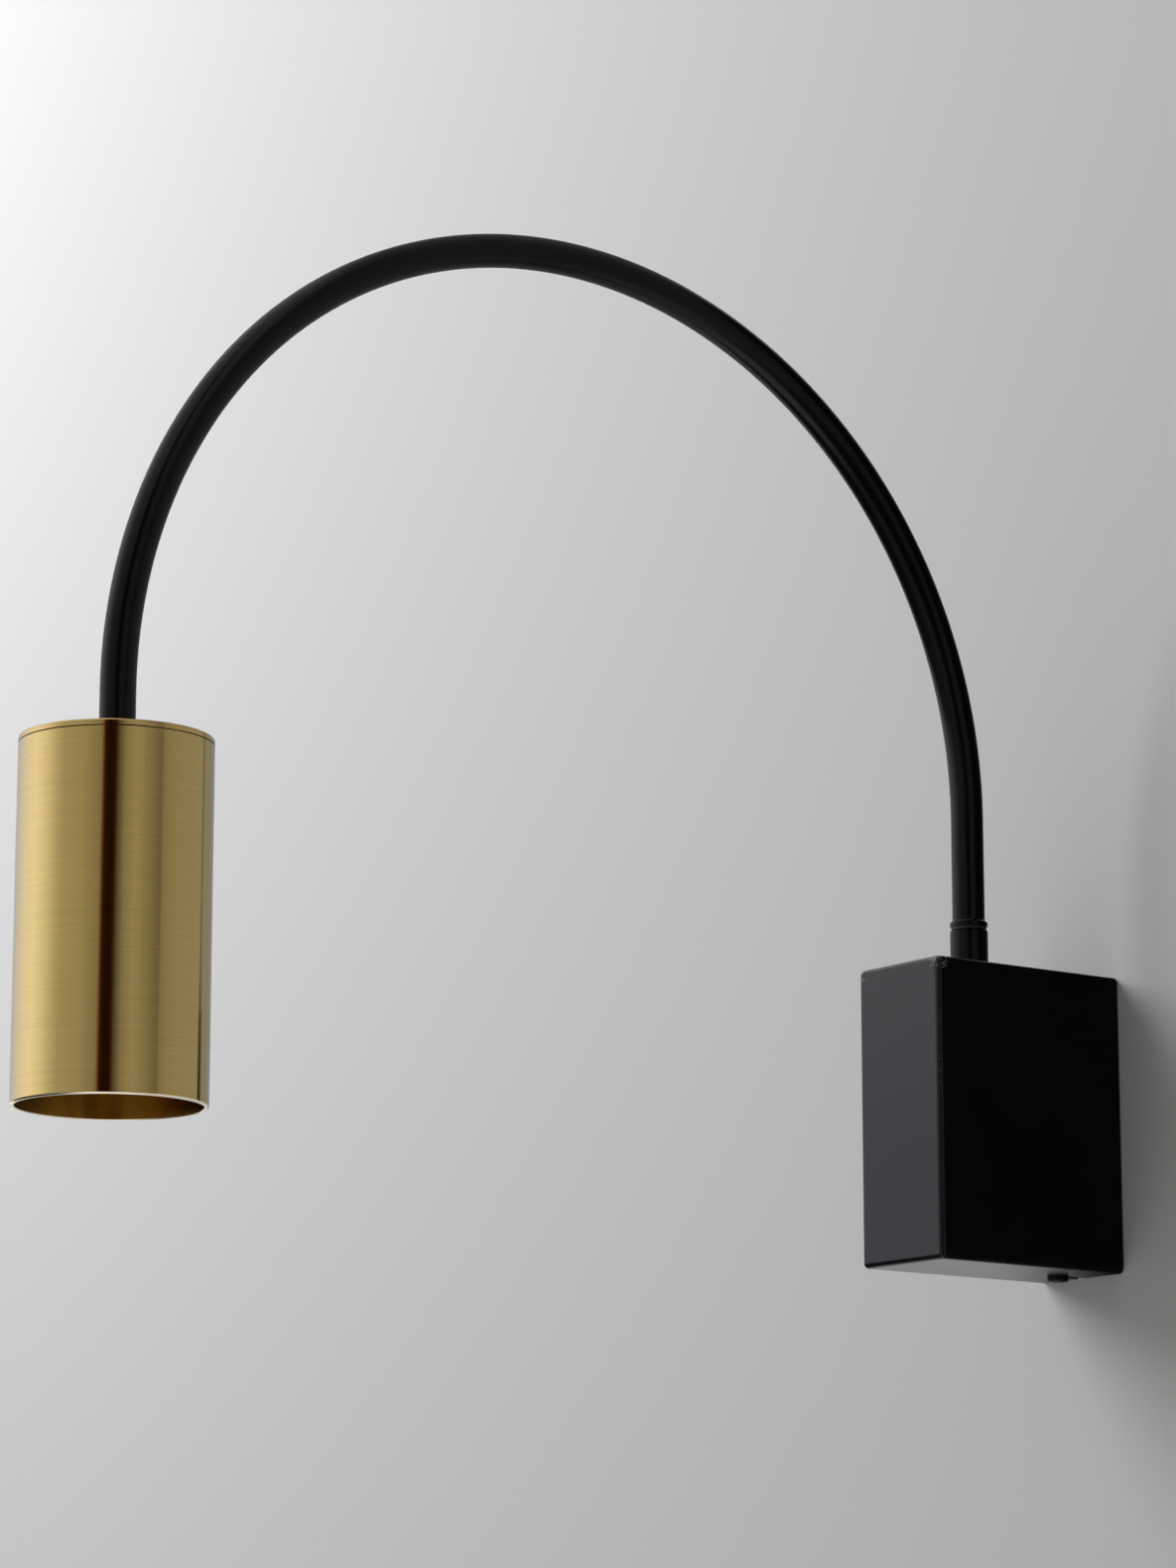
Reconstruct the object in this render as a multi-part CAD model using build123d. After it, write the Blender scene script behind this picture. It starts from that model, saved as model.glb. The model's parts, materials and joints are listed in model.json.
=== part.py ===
from build123d import *
import math
import os

# Arched wall light: a black steel box on the wall carries a bent black tube, which rises, turns over
# in a half circle and comes down into a brass cylinder with a twist-in reflector lamp.
#
# Millimetres. +Z is up, +X runs along the wall and -Y points into the room. The origin is the centre
# of the wall bracket's back face, on the wall. The box is centred on it in X and Z.

# ---------------------------------------------------------------- wall box
BOX_WIDTH = 45.0
BOX_DEPTH = 87.0
BOX_HEIGHT = 110.0
COVER_WALL = 1.5
COVER_EDGE_RADIUS = 2.0

BRACKET_THICKNESS = 2.0
BRACKET_SIDE_GAP = 0.75  # plate edge to the cover's side wall
BRACKET_CORNER_RADIUS = 4.0
BRACKET_BEND_RADIUS = 1.5  # inside of each bend
FLANGE_GAP = 0.2  # flange to the cover's top or floor
FLANGE_WIDTH = 24.0
FLANGE_DEPTH = 20.0
FLANGE_RELIEF = 2.0  # plate edge below the start of each bend

FIXING_SPACING = 76.0
FIXING_SLOT_WIDTH = 4.5
FIXING_SLOT_LENGTH = 12.0

COVER_SCREW_DIAMETER = 4.0
COVER_SCREW_SETBACK = 12.0  # from the wall
COVER_SCREW_REACH = 3.0  # past the flange
COVER_SCREW_HEAD = 8.0
COVER_SCREW_HEAD_HEIGHT = 2.0
COVER_SCREW_PLAY = 0.25  # radial, in the cover's open slot

# ---------------------------------------------------------------- cable entry and terminals
CABLE_HOLE_DIAMETER = 18.0
CABLE_HOLE_DROP = 20.0  # below the box's centre
GROMMET_BORE = 11.0
GROMMET_LIP = 2.0  # lip's height and its overhang
GROMMET_PLAY = 0.1

TERMINAL_PITCH = 11.0
TERMINAL_LENGTH = 16.0
TERMINAL_OFFSET = -6.0  # block's centre, in X
TERMINAL_GAP = 3.0  # grommet's lip to the block
TERMINAL_BASE = 3.0
TERMINAL_HOUSING_WIDTH = 6.4
TERMINAL_HOUSING_DEPTH = 11.0
TERMINAL_BORE_DEPTH = 6.0  # bore's axis, out from the bracket
TERMINAL_SLEEVE_DIAMETER = 4.4
TERMINAL_SLEEVE_BORE = 2.6
TERMINAL_SLEEVE_INSET = 1.5
TERMINAL_SCREW_DIAMETER = 2.6
TERMINAL_SCREW_SPACING = 7.0

EARTH_INSET = 9.5  # from the box's side
EARTH_DROP = 25.0  # below the box's top
EARTH_SCREW_DIAMETER = 4.0

# ---------------------------------------------------------------- swivel between box and arm
ARM_SETBACK = 52.5  # tube's axis from the wall
COLLAR_DIAMETER = 14.0
COLLAR_HEIGHT = 15.4
COLLAR_CHAMFER = 0.5
SPIGOT_DIAMETER = 10.0
SPIGOT_PLAY = 0.1
STIFFENER_THICKNESS = 2.5
STIFFENER_MARGIN = 2.0
COLLAR_NUT_ACROSS_FLATS = 14.0
COLLAR_NUT_HEIGHT = 3.4
THREAD_PROUD = 0.6  # thread that shows past a nut

SPINDLE_DIAMETER = 7.0
SPINDLE_BORE = 5.0
SPINDLE_PLAY = 0.05  # radial running fit in the collar
SPINDLE_FLANGE = 2.2
SPINDLE_FLANGE_CHAMFER = 0.8
SPINDLE_PLUG = 14.0  # length inside the tube
SPINDLE_FLAT = 0.5  # depth of each key flat
SWIVEL_WASHER_DIAMETER = 13.0
SWIVEL_WASHER_THICKNESS = 1.3
DISC_SPRING_HEIGHT = 0.9
DISC_SPRING_SHEET = 0.4
CAM_THICKNESS = 1.6
CAM_HUB_DIAMETER = 11.6
CAM_OVERHANG = 2.0  # sector's rim outside the stop pin's axis
STOP_PIN_DIAMETER = 3.0
STOP_PIN_RADIUS = 10.5  # pin's axis from the swivel's axis
SWING_DEGREES = 90.0  # each way
STOP_MARGIN_DEGREES = 1.0  # left between cam and pin at the end of the swing
SPINDLE_NUT_ACROSS_FLATS = 11.0
SPINDLE_NUT_HEIGHT = 3.0

# ---------------------------------------------------------------- arm
TUBE_DIAMETER = 12.0
TUBE_WALL = 1.0
ARCH_RADIUS = 182.5  # to the tube's centreline
BASE_LEG = 38.1  # straight tube under the arch, box side
HEAD_LEG = 16.5  # straight tube under the arch, lamp side
PLUG_PLAY = 0.05  # radial, spindle and stub in the tube

# ---------------------------------------------------------------- brass head
SHADE_DIAMETER = 64.0
SHADE_LENGTH = 121.0  # cap's top to the open rim
SHADE_WALL = 1.5
SHADE_RIM_CHAMFER = 0.5
CAP_THICKNESS = 2.0
CAP_CHAMFER = 0.4
CAP_SPIGOT_DEPTH = 6.0
CAP_SPIGOT_WALL = 2.0
CAP_SPIGOT_PLAY = 0.05
JOINT_GAP = 0.3  # shadow line between cap and shade
JOINT_GAP_DEPTH = 0.7

STUB_DIAMETER = 10.0
STUB_BORE = 6.0
STUB_PLUG = 12.0  # length inside the tube
STUB_PLAY = 0.1
HEAD_WASHER_DIAMETER = 18.0
HEAD_WASHER_THICKNESS = 1.0
HEAD_NUT_ACROSS_FLATS = 14.0
HEAD_NUT_HEIGHT = 3.0

HANGER_THICKNESS = 1.5
HANGER_WIDTH = 14.0
HANGER_DROP = 21.0  # top of the web to the underside of the feet
HANGER_FOOT_GAP = 16.0  # between the two feet
HANGER_BEND_RADIUS = 1.0

# ---------------------------------------------------------------- lamp holder and lamp, two-pin twist-lock
HOLDER_LENGTH = 35.0
HOLDER_WIDTH = 21.0
HOLDER_HEIGHT = 16.0
HOLDER_LIP = 2.5
HOLDER_CAVITY = 5.5
HOLDER_SCREW_SPACING = 25.0
HOLDER_SCREW_DIAMETER = 3.0
HOLDER_SCREW_SINK = 3.5  # depth of the counterbore
HOLDER_EDGE_RADIUS = 1.0
LEAD_HOLE_DIAMETER = 3.2
PIN_SPACING = 10.0
PIN_NECK_DIAMETER = 3.0
PIN_HEAD_DIAMETER = 4.9
PIN_HEAD_HEIGHT = 3.0
PIN_SIDE_PLAY = 0.25
PIN_LIFT = 0.3  # pin head above the holder's lip
LAMP_TWIST_DEGREES = 22.0
CONTACT_THICKNESS = 0.5
CONTACT_GAP = 0.1
LAMP_SEAT_GAP = 0.3

LAMP_DIAMETER = 50.0
LAMP_LENGTH = 48.0
LAMP_BASE_DIAMETER = 22.0
LAMP_BASE_LENGTH = 11.0
LAMP_RIM_LENGTH = 8.0
LAMP_RIM_WALL = 2.2
LAMP_RECESS = 3.5
LENS_THICKNESS = 1.6
LENS_CROWN = 1.2
LAMP_FIN_COUNT = 20
LAMP_FIN_DEPTH = 0.9
LAMP_FIN_WIDTH = 1.6

# ---------------------------------------------------------------- inner cable
CABLE_DIAMETER = 4.4
CABLE_TAIL = 12.0  # sheathed length below the splice, in the box
CORE_DIAMETER = 1.8
CORE_SPREAD = 1.1  # each core's axis from the cable's axis
CORE_BEND = 8.0
CORE_HEAD_BEND = 2.5
EARTH_CORE_DROP = 11.0  # straight run below the sheath before each core turns to the wall
LIVE_CORE_DROP = 10.0
NEUTRAL_CORE_DROP = 15.0
CORE_LOOP = 14.5  # rise of the slack loop over the terminals, and drop of the one under the earth tag
HEAD_CORE_DROP = 2.5
HEAD_CORE_STRAIGHT = 4.0  # above the lamp holder
CORE_ENTRY = 3.0  # length inside an earth tag's barrel
TAG_THICKNESS = 0.8
TAG_BARREL_DIAMETER = 3.4
TAG_BARREL_BORE = 2.2
TAG_BARREL_LENGTH = 5.0

CLEAR = 1.0  # overrun of a cutting tool past the face it opens

# ---------------------------------------------------------------- levels and places that follow
BOX_TOP = BOX_HEIGHT / 2
CEILING = BOX_TOP - COVER_WALL
FLANGE_TOP = CEILING - FLANGE_GAP
STIFFENER_UNDER = CEILING - STIFFENER_THICKNESS
SPIGOT_END = STIFFENER_UNDER - COLLAR_NUT_HEIGHT - THREAD_PROUD
CAM_TOP = SPIGOT_END - DISC_SPRING_HEIGHT
CAM_UNDER = CAM_TOP - CAM_THICKNESS
SPINDLE_END = CAM_UNDER - 2 * SPINDLE_NUT_HEIGHT - THREAD_PROUD
SPLICE = SPINDLE_END - THREAD_PROUD
COLLAR_TOP = BOX_TOP + COLLAR_HEIGHT
FLANGE_UNDER = COLLAR_TOP + SWIVEL_WASHER_THICKNESS
TUBE_START = FLANGE_UNDER + SPINDLE_FLANGE
ARCH_LEVEL = TUBE_START + BASE_LEG
ARCH_Y = -ARM_SETBACK - ARCH_RADIUS

HEAD_Y = -ARM_SETBACK - 2 * ARCH_RADIUS
HEAD_TOP = ARCH_LEVEL - HEAD_LEG
CAP_UNDER = HEAD_TOP - CAP_THICKNESS
SHADE_TOP = CAP_UNDER - JOINT_GAP
SHADE_RIM = HEAD_TOP - SHADE_LENGTH
UPPER_NUT_TOP = CAP_UNDER - HEAD_WASHER_THICKNESS
HANGER_TOP = UPPER_NUT_TOP - HEAD_NUT_HEIGHT
TAG_TOP = HANGER_TOP - HANGER_THICKNESS
LOWER_NUT_TOP = TAG_TOP - TAG_THICKNESS
STUB_END = LOWER_NUT_TOP - HEAD_NUT_HEIGHT - THREAD_PROUD
HOLDER_TOP = HANGER_TOP - HANGER_DROP
HOLDER_UNDER = HOLDER_TOP - HOLDER_HEIGHT
HANGER_LENGTH = HOLDER_LENGTH
CAVITY_FLOOR = HOLDER_UNDER + HOLDER_LIP
PIN_HEAD_UNDER = CAVITY_FLOOR + PIN_LIFT
PIN_TOP = PIN_HEAD_UNDER + PIN_HEAD_HEIGHT
CONTACT_UNDER = PIN_TOP + CONTACT_GAP
LAMP_TOP = HOLDER_UNDER - LAMP_SEAT_GAP
LAMP_FRONT = LAMP_TOP - LAMP_LENGTH

EARTH_X = BOX_WIDTH / 2 - EARTH_INSET
EARTH_LEVEL = BOX_TOP - EARTH_DROP
GROMMET_TOP = CABLE_HOLE_DIAMETER / 2 + GROMMET_LIP - CABLE_HOLE_DROP
TERMINAL_LEVEL = GROMMET_TOP + TERMINAL_GAP + TERMINAL_LENGTH / 2
TERMINAL_Y = -BRACKET_THICKNESS - TERMINAL_BORE_DEPTH
SHADE_BORE = SHADE_DIAMETER - 2 * SHADE_WALL
TUBE_BORE = TUBE_DIAMETER - 2 * TUBE_WALL
BASE_SHEATH_END = SPLICE - CABLE_TAIL
HEAD_SHEATH_END = STUB_END - 1.0

# Where each core leaves the sheath, as an angle about the cable's axis, on its own terminal's side.
BASE_CORES = {"earth": 30, "live": 150, "neutral": -90}
HEAD_CORES = {"earth": -90, "live": 30, "neutral": 150}

BASE_AXIS = Pos(0, -ARM_SETBACK, 0)
HEAD_AXIS = Pos(0, HEAD_Y, 0)
FROM_BELOW = (Align.CENTER, Align.CENTER, Align.MIN)


# ---------------------------------------------------------------- helpers
def rod(diameter, low, high):
    """A round bar on the local Z axis, between two levels."""
    return Pos(0, 0, low) * Cylinder(diameter / 2, high - low, align=FROM_BELOW)


def washer(diameter, bore, low, high):
    return rod(diameter, low, high) - rod(bore, low - CLEAR, high + CLEAR)


def hex_nut(across_flats, bore, low, high):
    """A hexagon nut whose corners are chamfered by a cone on both faces."""
    hexagon = RegularPolygon(across_flats / 2, 6, major_radius=False)
    blank = Pos(0, 0, low) * extrude(hexagon, high - low)
    corner = across_flats / math.sqrt(3)
    skirt = Pos(0, 0, low) * chamfer(
        Cylinder(corner, high - low, align=FROM_BELOW).edges().filter_by(GeomType.CIRCLE),
        (corner - across_flats / 2) * 0.8,
    )
    return (blank & skirt) - rod(bore, low - CLEAR, high + CLEAR)


def turned(points):
    """A turned piece: its half section, as (radius, level) points, spun about the local Z axis."""
    section = make_face(Polyline(*[(r, 0, z) for r, z in points], close=True))
    return revolve(section, Axis.Z)


def pan_screw(diameter, length, head_diameter, head_height):
    """A slotted pan-head screw on the local Z axis: head below the seat at zero, shank above it."""
    head = rod(head_diameter, -head_height, 0)
    head = fillet(head.edges().group_by(Axis.Z)[0], head_height * 0.45)
    slot = Pos(0, 0, -head_height) * Box(head_diameter * 2, head_diameter * 0.16, head_height)
    shank = chamfer(rod(diameter, 0, length).edges().group_by(Axis.Z)[-1], diameter * 0.12)
    return head - slot + shank


def room_for_arc(before, corner, after):
    """The largest radius that keeps a corner's arc within 0.45 of the shorter run beside it."""
    arriving = Vector(*corner) - Vector(*before)
    leaving = Vector(*after) - Vector(*corner)
    half_turn = math.radians(arriving.get_angle(leaving)) / 2
    return 0.45 * min(arriving.length, leaving.length) / math.tan(half_turn)


def core_along(points, radius):
    """An insulated core along straight runs joined by tangent arcs, each of the given radius or as
    large as the runs beside it leave room for."""
    corners = zip(points, points[1:], points[2:])
    path = FilletPolyline(*points, radius=[min(radius, room_for_arc(*three)) for three in corners])
    start = Plane(origin=path @ 0, z_dir=path % 0)
    return sweep(start * Circle(CORE_DIAMETER / 2), path=path)


def channel(length, low, high, sheet, bend):
    """A C-shaped bent strip's section, open on its negative first side, in its own plane."""
    outer = Pos(-length / 2, (low + high) / 2) * Rectangle(length, high - low)
    outer = fillet(outer.vertices().group_by(Axis.X)[-1], bend + sheet)
    inner = Pos(-length / 2 - sheet, (low + high) / 2) * Rectangle(length, high - low - 2 * sheet)
    inner = fillet(inner.vertices().group_by(Axis.X)[-1], bend)
    return outer - inner


# ---------------------------------------------------------------- wall box pieces
def rounded_box(width, depth, height, radius):
    """A box against the wall plane whose edges, but those of its back, are rounded."""
    block = Box(width, depth, height, align=(Align.CENTER, Align.MAX, Align.CENTER))
    if radius < 0.05:
        return block
    return fillet(block.edges().filter_by(lambda edge: edge.center().Y < -depth / 4), radius)


def screw_notch(side):
    """The open slot in the cover's top or floor that slides under a cover screw's head."""
    width = COVER_SCREW_DIAMETER + 2 * COVER_SCREW_PLAY
    height = COVER_WALL + 2 * CLEAR
    level = side * (BOX_TOP - COVER_WALL / 2)
    mouth = Pos(0, (CLEAR - COVER_SCREW_SETBACK) / 2, level) * Box(
        width, COVER_SCREW_SETBACK + CLEAR, height
    )
    end = Pos(0, -COVER_SCREW_SETBACK, level) * Cylinder(width / 2, height)
    return mouth + end


def base_cover():
    outside = rounded_box(BOX_WIDTH, BOX_DEPTH, BOX_HEIGHT, COVER_EDGE_RADIUS)
    inside = rounded_box(
        BOX_WIDTH - 2 * COVER_WALL,
        BOX_DEPTH - COVER_WALL,
        BOX_HEIGHT - 2 * COVER_WALL,
        COVER_EDGE_RADIUS - COVER_WALL,
    )
    arm_hole = BASE_AXIS * rod(SPIGOT_DIAMETER + 2 * SPIGOT_PLAY, CEILING - CLEAR, BOX_TOP + CLEAR)
    return outside - inside - arm_hole - screw_notch(1) - screw_notch(-1)


def fixing_slots():
    slot = SlotOverall(FIXING_SLOT_LENGTH, FIXING_SLOT_WIDTH, rotation=90)
    cutter = extrude(Plane.XZ * slot, BRACKET_THICKNESS + CLEAR) + extrude(Plane.XZ * slot, -CLEAR)
    return [Pos(0, 0, side * FIXING_SPACING / 2) * cutter for side in (1, -1)]


def through_bracket(diameter):
    """A drill along Y through the bracket's plate, on the local Y axis."""
    return Pos(0, -BRACKET_THICKNESS / 2, 0) * Rot(90, 0, 0) * Cylinder(
        diameter / 2, BRACKET_THICKNESS + 2 * CLEAR
    )


def wall_bracket():
    strip = channel(
        FLANGE_DEPTH, -FLANGE_TOP, FLANGE_TOP, BRACKET_THICKNESS, BRACKET_BEND_RADIUS
    )
    strip = extrude(Plane.YZ * strip, FLANGE_WIDTH / 2, both=True)
    bend = BRACKET_THICKNESS + BRACKET_BEND_RADIUS + FLANGE_RELIEF
    plate = Box(
        BOX_WIDTH - 2 * COVER_WALL - 2 * BRACKET_SIDE_GAP,
        BRACKET_THICKNESS,
        2 * (FLANGE_TOP - bend),
        align=(Align.CENTER, Align.MAX, Align.CENTER),
    )
    plate = fillet(plate.edges().filter_by(Axis.Y), BRACKET_CORNER_RADIUS)
    body = strip + plate
    for slot in fixing_slots():
        body -= slot
    body -= Pos(0, 0, -CABLE_HOLE_DROP) * through_bracket(CABLE_HOLE_DIAMETER)
    body -= Pos(EARTH_X, 0, EARTH_LEVEL) * through_bracket(EARTH_SCREW_DIAMETER)
    body -= Pos(TERMINAL_OFFSET, 0, TERMINAL_LEVEL) * through_bracket(TERMINAL_SCREW_DIAMETER)
    tapping = Pos(0, -COVER_SCREW_SETBACK, 0) * Cylinder(COVER_SCREW_DIAMETER / 2, BOX_HEIGHT)
    return body - tapping


def cover_screws():
    length = COVER_WALL + FLANGE_GAP + BRACKET_THICKNESS + COVER_SCREW_REACH
    screw = pan_screw(COVER_SCREW_DIAMETER, length, COVER_SCREW_HEAD, COVER_SCREW_HEAD_HEIGHT)
    lower = Pos(0, -COVER_SCREW_SETBACK, -BOX_TOP) * screw
    upper = Pos(0, -COVER_SCREW_SETBACK, BOX_TOP) * Rot(180, 0, 0) * screw
    return [lower, upper]


def cable_grommet():
    radius = CABLE_HOLE_DIAMETER / 2
    bore = GROMMET_BORE / 2
    inner_face = BRACKET_THICKNESS + GROMMET_PLAY
    section = [
        (bore, 0.2),
        (radius - GROMMET_PLAY, 0.2),
        (radius - GROMMET_PLAY, inner_face),
        (radius + GROMMET_LIP, inner_face),
        (radius + GROMMET_LIP * 0.6, inner_face + GROMMET_LIP),
        (bore, inner_face + GROMMET_LIP),
    ]
    return Pos(0, 0, -CABLE_HOLE_DROP) * Rot(90, 0, 0) * turned(section)


# ---------------------------------------------------------------- terminals
def terminal_ways():
    """The X of each way of the block."""
    return [TERMINAL_OFFSET - TERMINAL_PITCH / 2, TERMINAL_OFFSET + TERMINAL_PITCH / 2]


def along_y(diameter, near, far):
    """A round bar on the local Y axis, between two distances out from the bracket's face."""
    return Pos(0, -BRACKET_THICKNESS - near, 0) * Rot(90, 0, 0) * Cylinder(
        diameter / 2, far - near, align=FROM_BELOW
    )


def screw_levels():
    return [TERMINAL_LEVEL + side * TERMINAL_SCREW_SPACING / 2 for side in (1, -1)]


def terminal_block():
    width = TERMINAL_PITCH + TERMINAL_HOUSING_WIDTH + 2
    out = (Align.CENTER, Align.MAX, Align.CENTER)
    centre = Pos(TERMINAL_OFFSET, -BRACKET_THICKNESS, TERMINAL_LEVEL)
    body = centre * Box(width, TERMINAL_BASE, TERMINAL_LENGTH, align=out)
    housing = Box(TERMINAL_HOUSING_WIDTH, TERMINAL_HOUSING_DEPTH, TERMINAL_LENGTH, align=out)
    front = housing.edges().filter_by(Axis.Z).group_by(Axis.Y)[0]
    housing = fillet(front, TERMINAL_HOUSING_WIDTH / 4)
    for x in terminal_ways():
        body += Pos(x, -BRACKET_THICKNESS, TERMINAL_LEVEL) * housing
    for x in terminal_ways():
        body -= Pos(x, TERMINAL_Y, TERMINAL_LEVEL) * Cylinder(
            TERMINAL_SLEEVE_DIAMETER / 2, TERMINAL_LENGTH + CLEAR
        )
        for level in screw_levels():
            reach = TERMINAL_HOUSING_DEPTH + CLEAR
            body -= Pos(x, 0, level) * along_y(
                TERMINAL_SCREW_DIAMETER + 0.4, TERMINAL_BORE_DEPTH, reach
            )
    fixing = along_y(TERMINAL_SCREW_DIAMETER + 0.4, -CLEAR, TERMINAL_BASE + CLEAR)
    return body - Pos(TERMINAL_OFFSET, 0, TERMINAL_LEVEL) * fixing


def terminal_sleeves():
    """The brass sleeve of each way, drilled and tapped for its two clamp screws."""
    sleeves = []
    half = TERMINAL_LENGTH / 2 - TERMINAL_SLEEVE_INSET
    for x in terminal_ways():
        sleeve = Pos(x, TERMINAL_Y, TERMINAL_LEVEL) * washer(
            TERMINAL_SLEEVE_DIAMETER - 0.1, TERMINAL_SLEEVE_BORE, -half, half
        )
        for level in screw_levels():
            sleeve -= Pos(x, 0, level) * along_y(
                TERMINAL_SCREW_DIAMETER, TERMINAL_BORE_DEPTH, TERMINAL_HOUSING_DEPTH
            )
        sleeves.append(sleeve)
    return sleeves


def terminal_screws():
    """Two clamp screws a way, whose tips stand just clear of the lead."""
    screws = []
    tip = TERMINAL_BORE_DEPTH + CORE_DIAMETER / 2 + 0.05
    top = TERMINAL_HOUSING_DEPTH - 1.5
    slot = Box(TERMINAL_SCREW_DIAMETER, 1.0, 0.5)
    for x in terminal_ways():
        for level in screw_levels():
            screw = along_y(TERMINAL_SCREW_DIAMETER - 0.1, tip, top)
            screw -= Pos(0, -BRACKET_THICKNESS - top, 0) * slot
            screws.append(Pos(x, 0, level) * screw)
    return screws


def terminal_fixing():
    screw = pan_screw(
        TERMINAL_SCREW_DIAMETER - 0.1,
        TERMINAL_BASE + BRACKET_THICKNESS,
        TERMINAL_SCREW_DIAMETER * 1.7,
        1.8,
    )
    seat = -BRACKET_THICKNESS - TERMINAL_BASE
    return Pos(TERMINAL_OFFSET, seat, TERMINAL_LEVEL) * Rot(-90, 0, 0) * screw


def earth_tag():
    """The ring terminal under the earth screw, its barrel pointing down."""
    ring = EARTH_SCREW_DIAMETER + 4.5
    reach = ring / 2 + 1.0
    plate = Circle(ring / 2) + Pos(0, -reach / 2) * Rectangle(TAG_BARREL_DIAMETER, reach)
    plate -= Circle(EARTH_SCREW_DIAMETER / 2 + 0.15)
    plate = extrude(Plane.XZ * plate, TAG_THICKNESS)
    barrel = Pos(0, -TAG_BARREL_DIAMETER / 2, 0) * washer(
        TAG_BARREL_DIAMETER, TAG_BARREL_BORE, -reach - TAG_BARREL_LENGTH, -reach + 0.6
    )
    return Pos(EARTH_X, -BRACKET_THICKNESS, EARTH_LEVEL) * (plate + barrel)


def earth_barrel_mouth():
    """Where the earth lead enters the tag's barrel: X, Y and Z."""
    reach = (EARTH_SCREW_DIAMETER + 4.5) / 2 + 1.0
    y = -BRACKET_THICKNESS - TAG_BARREL_DIAMETER / 2
    return EARTH_X, y, EARTH_LEVEL - reach - TAG_BARREL_LENGTH


def earth_screw():
    screw = pan_screw(
        EARTH_SCREW_DIAMETER - 0.1,
        TAG_THICKNESS + BRACKET_THICKNESS,
        EARTH_SCREW_DIAMETER * 1.9,
        2.4,
    )
    seat = -BRACKET_THICKNESS - TAG_THICKNESS
    return Pos(EARTH_X, seat, EARTH_LEVEL) * Rot(-90, 0, 0) * screw


# ---------------------------------------------------------------- swivel
def top_stiffener():
    """The plate under the cover's top that spreads the arm's load and holds the stop pin."""
    width = BOX_WIDTH - 2 * (COVER_WALL + STIFFENER_MARGIN)
    back = FLANGE_DEPTH + STIFFENER_MARGIN
    front = BOX_DEPTH - COVER_WALL - STIFFENER_MARGIN
    plate = Pos(0, -(back + front) / 2, STIFFENER_UNDER) * Box(
        width, front - back, STIFFENER_THICKNESS, align=FROM_BELOW
    )
    plate = fillet(plate.edges().filter_by(Axis.Z), 3.0)
    plate -= BASE_AXIS * rod(SPIGOT_DIAMETER + 2 * SPIGOT_PLAY, STIFFENER_UNDER - CLEAR, BOX_TOP)
    return plate - stop_pin_place() * rod(STOP_PIN_DIAMETER, STIFFENER_UNDER - CLEAR, BOX_TOP)


def stop_pin_place():
    return Pos(0, STOP_PIN_RADIUS - ARM_SETBACK, 0)


def stop_pin():
    pin = rod(STOP_PIN_DIAMETER - 0.04, CAM_UNDER - CLEAR, CEILING - 0.2)
    return stop_pin_place() * chamfer(pin.edges().group_by(Axis.Z)[0], 0.3)


def swivel_collar():
    bore = SPINDLE_DIAMETER / 2 + SPINDLE_PLAY
    edge = COLLAR_CHAMFER
    section = [
        (bore, SPIGOT_END),
        (SPIGOT_DIAMETER / 2 - edge, SPIGOT_END),
        (SPIGOT_DIAMETER / 2, SPIGOT_END + edge),
        (SPIGOT_DIAMETER / 2, BOX_TOP),
        (COLLAR_DIAMETER / 2, BOX_TOP),
        (COLLAR_DIAMETER / 2, COLLAR_TOP - edge),
        (COLLAR_DIAMETER / 2 - edge, COLLAR_TOP),
        (bore, COLLAR_TOP),
    ]
    return BASE_AXIS * turned(section)


def collar_nut():
    low = STIFFENER_UNDER - COLLAR_NUT_HEIGHT
    return BASE_AXIS * hex_nut(COLLAR_NUT_ACROSS_FLATS, SPIGOT_DIAMETER + 0.04, low, STIFFENER_UNDER)


def swivel_washer():
    bore = SPINDLE_DIAMETER + 2 * SPINDLE_PLAY
    return BASE_AXIS * washer(SWIVEL_WASHER_DIAMETER, bore, COLLAR_TOP, FLANGE_UNDER)


def key_flats(diameter):
    """A bar with two flats, as the spindle's keyed end and the hole in the cam."""
    across = diameter - 2 * SPINDLE_FLAT
    return rod(diameter, SPINDLE_END, CAM_TOP) & Pos(0, 0, SPINDLE_END) * Box(
        diameter * 2, across, CAM_TOP - SPINDLE_END, align=FROM_BELOW
    )


def swivel_spindle():
    """The arm's hollow pivot: a plug in the tube, the flange that shows, and the keyed shank."""
    plug = TUBE_BORE / 2 - PLUG_PLAY
    edge = SPINDLE_FLANGE_CHAMFER
    plug_end = TUBE_START + SPINDLE_PLUG
    section = [
        (SPINDLE_BORE / 2, CAM_TOP),
        (SPINDLE_DIAMETER / 2, CAM_TOP),
        (SPINDLE_DIAMETER / 2, FLANGE_UNDER),
        (COLLAR_DIAMETER / 2, FLANGE_UNDER),
        (COLLAR_DIAMETER / 2, TUBE_START - edge),
        (COLLAR_DIAMETER / 2 - edge, TUBE_START),
        (plug, TUBE_START),
        (plug, plug_end - edge),
        (plug - edge, plug_end),
        (SPINDLE_BORE / 2 + edge, plug_end),
        (SPINDLE_BORE / 2, plug_end - edge),
    ]
    keyed = key_flats(SPINDLE_DIAMETER) - rod(SPINDLE_BORE, SPINDLE_END - CLEAR, CAM_TOP + CLEAR)
    return BASE_AXIS * (turned(section) + keyed)


def disc_spring():
    """The dished washer that keeps the swivel stiff."""
    inner = SPINDLE_DIAMETER / 2 + 0.2
    outer = SPIGOT_DIAMETER / 2 + 0.6
    section = [
        (inner, SPIGOT_END - DISC_SPRING_SHEET),
        (inner, SPIGOT_END),
        (outer, CAM_TOP + DISC_SPRING_SHEET),
        (outer, CAM_TOP),
    ]
    return BASE_AXIS * turned(section)


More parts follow.
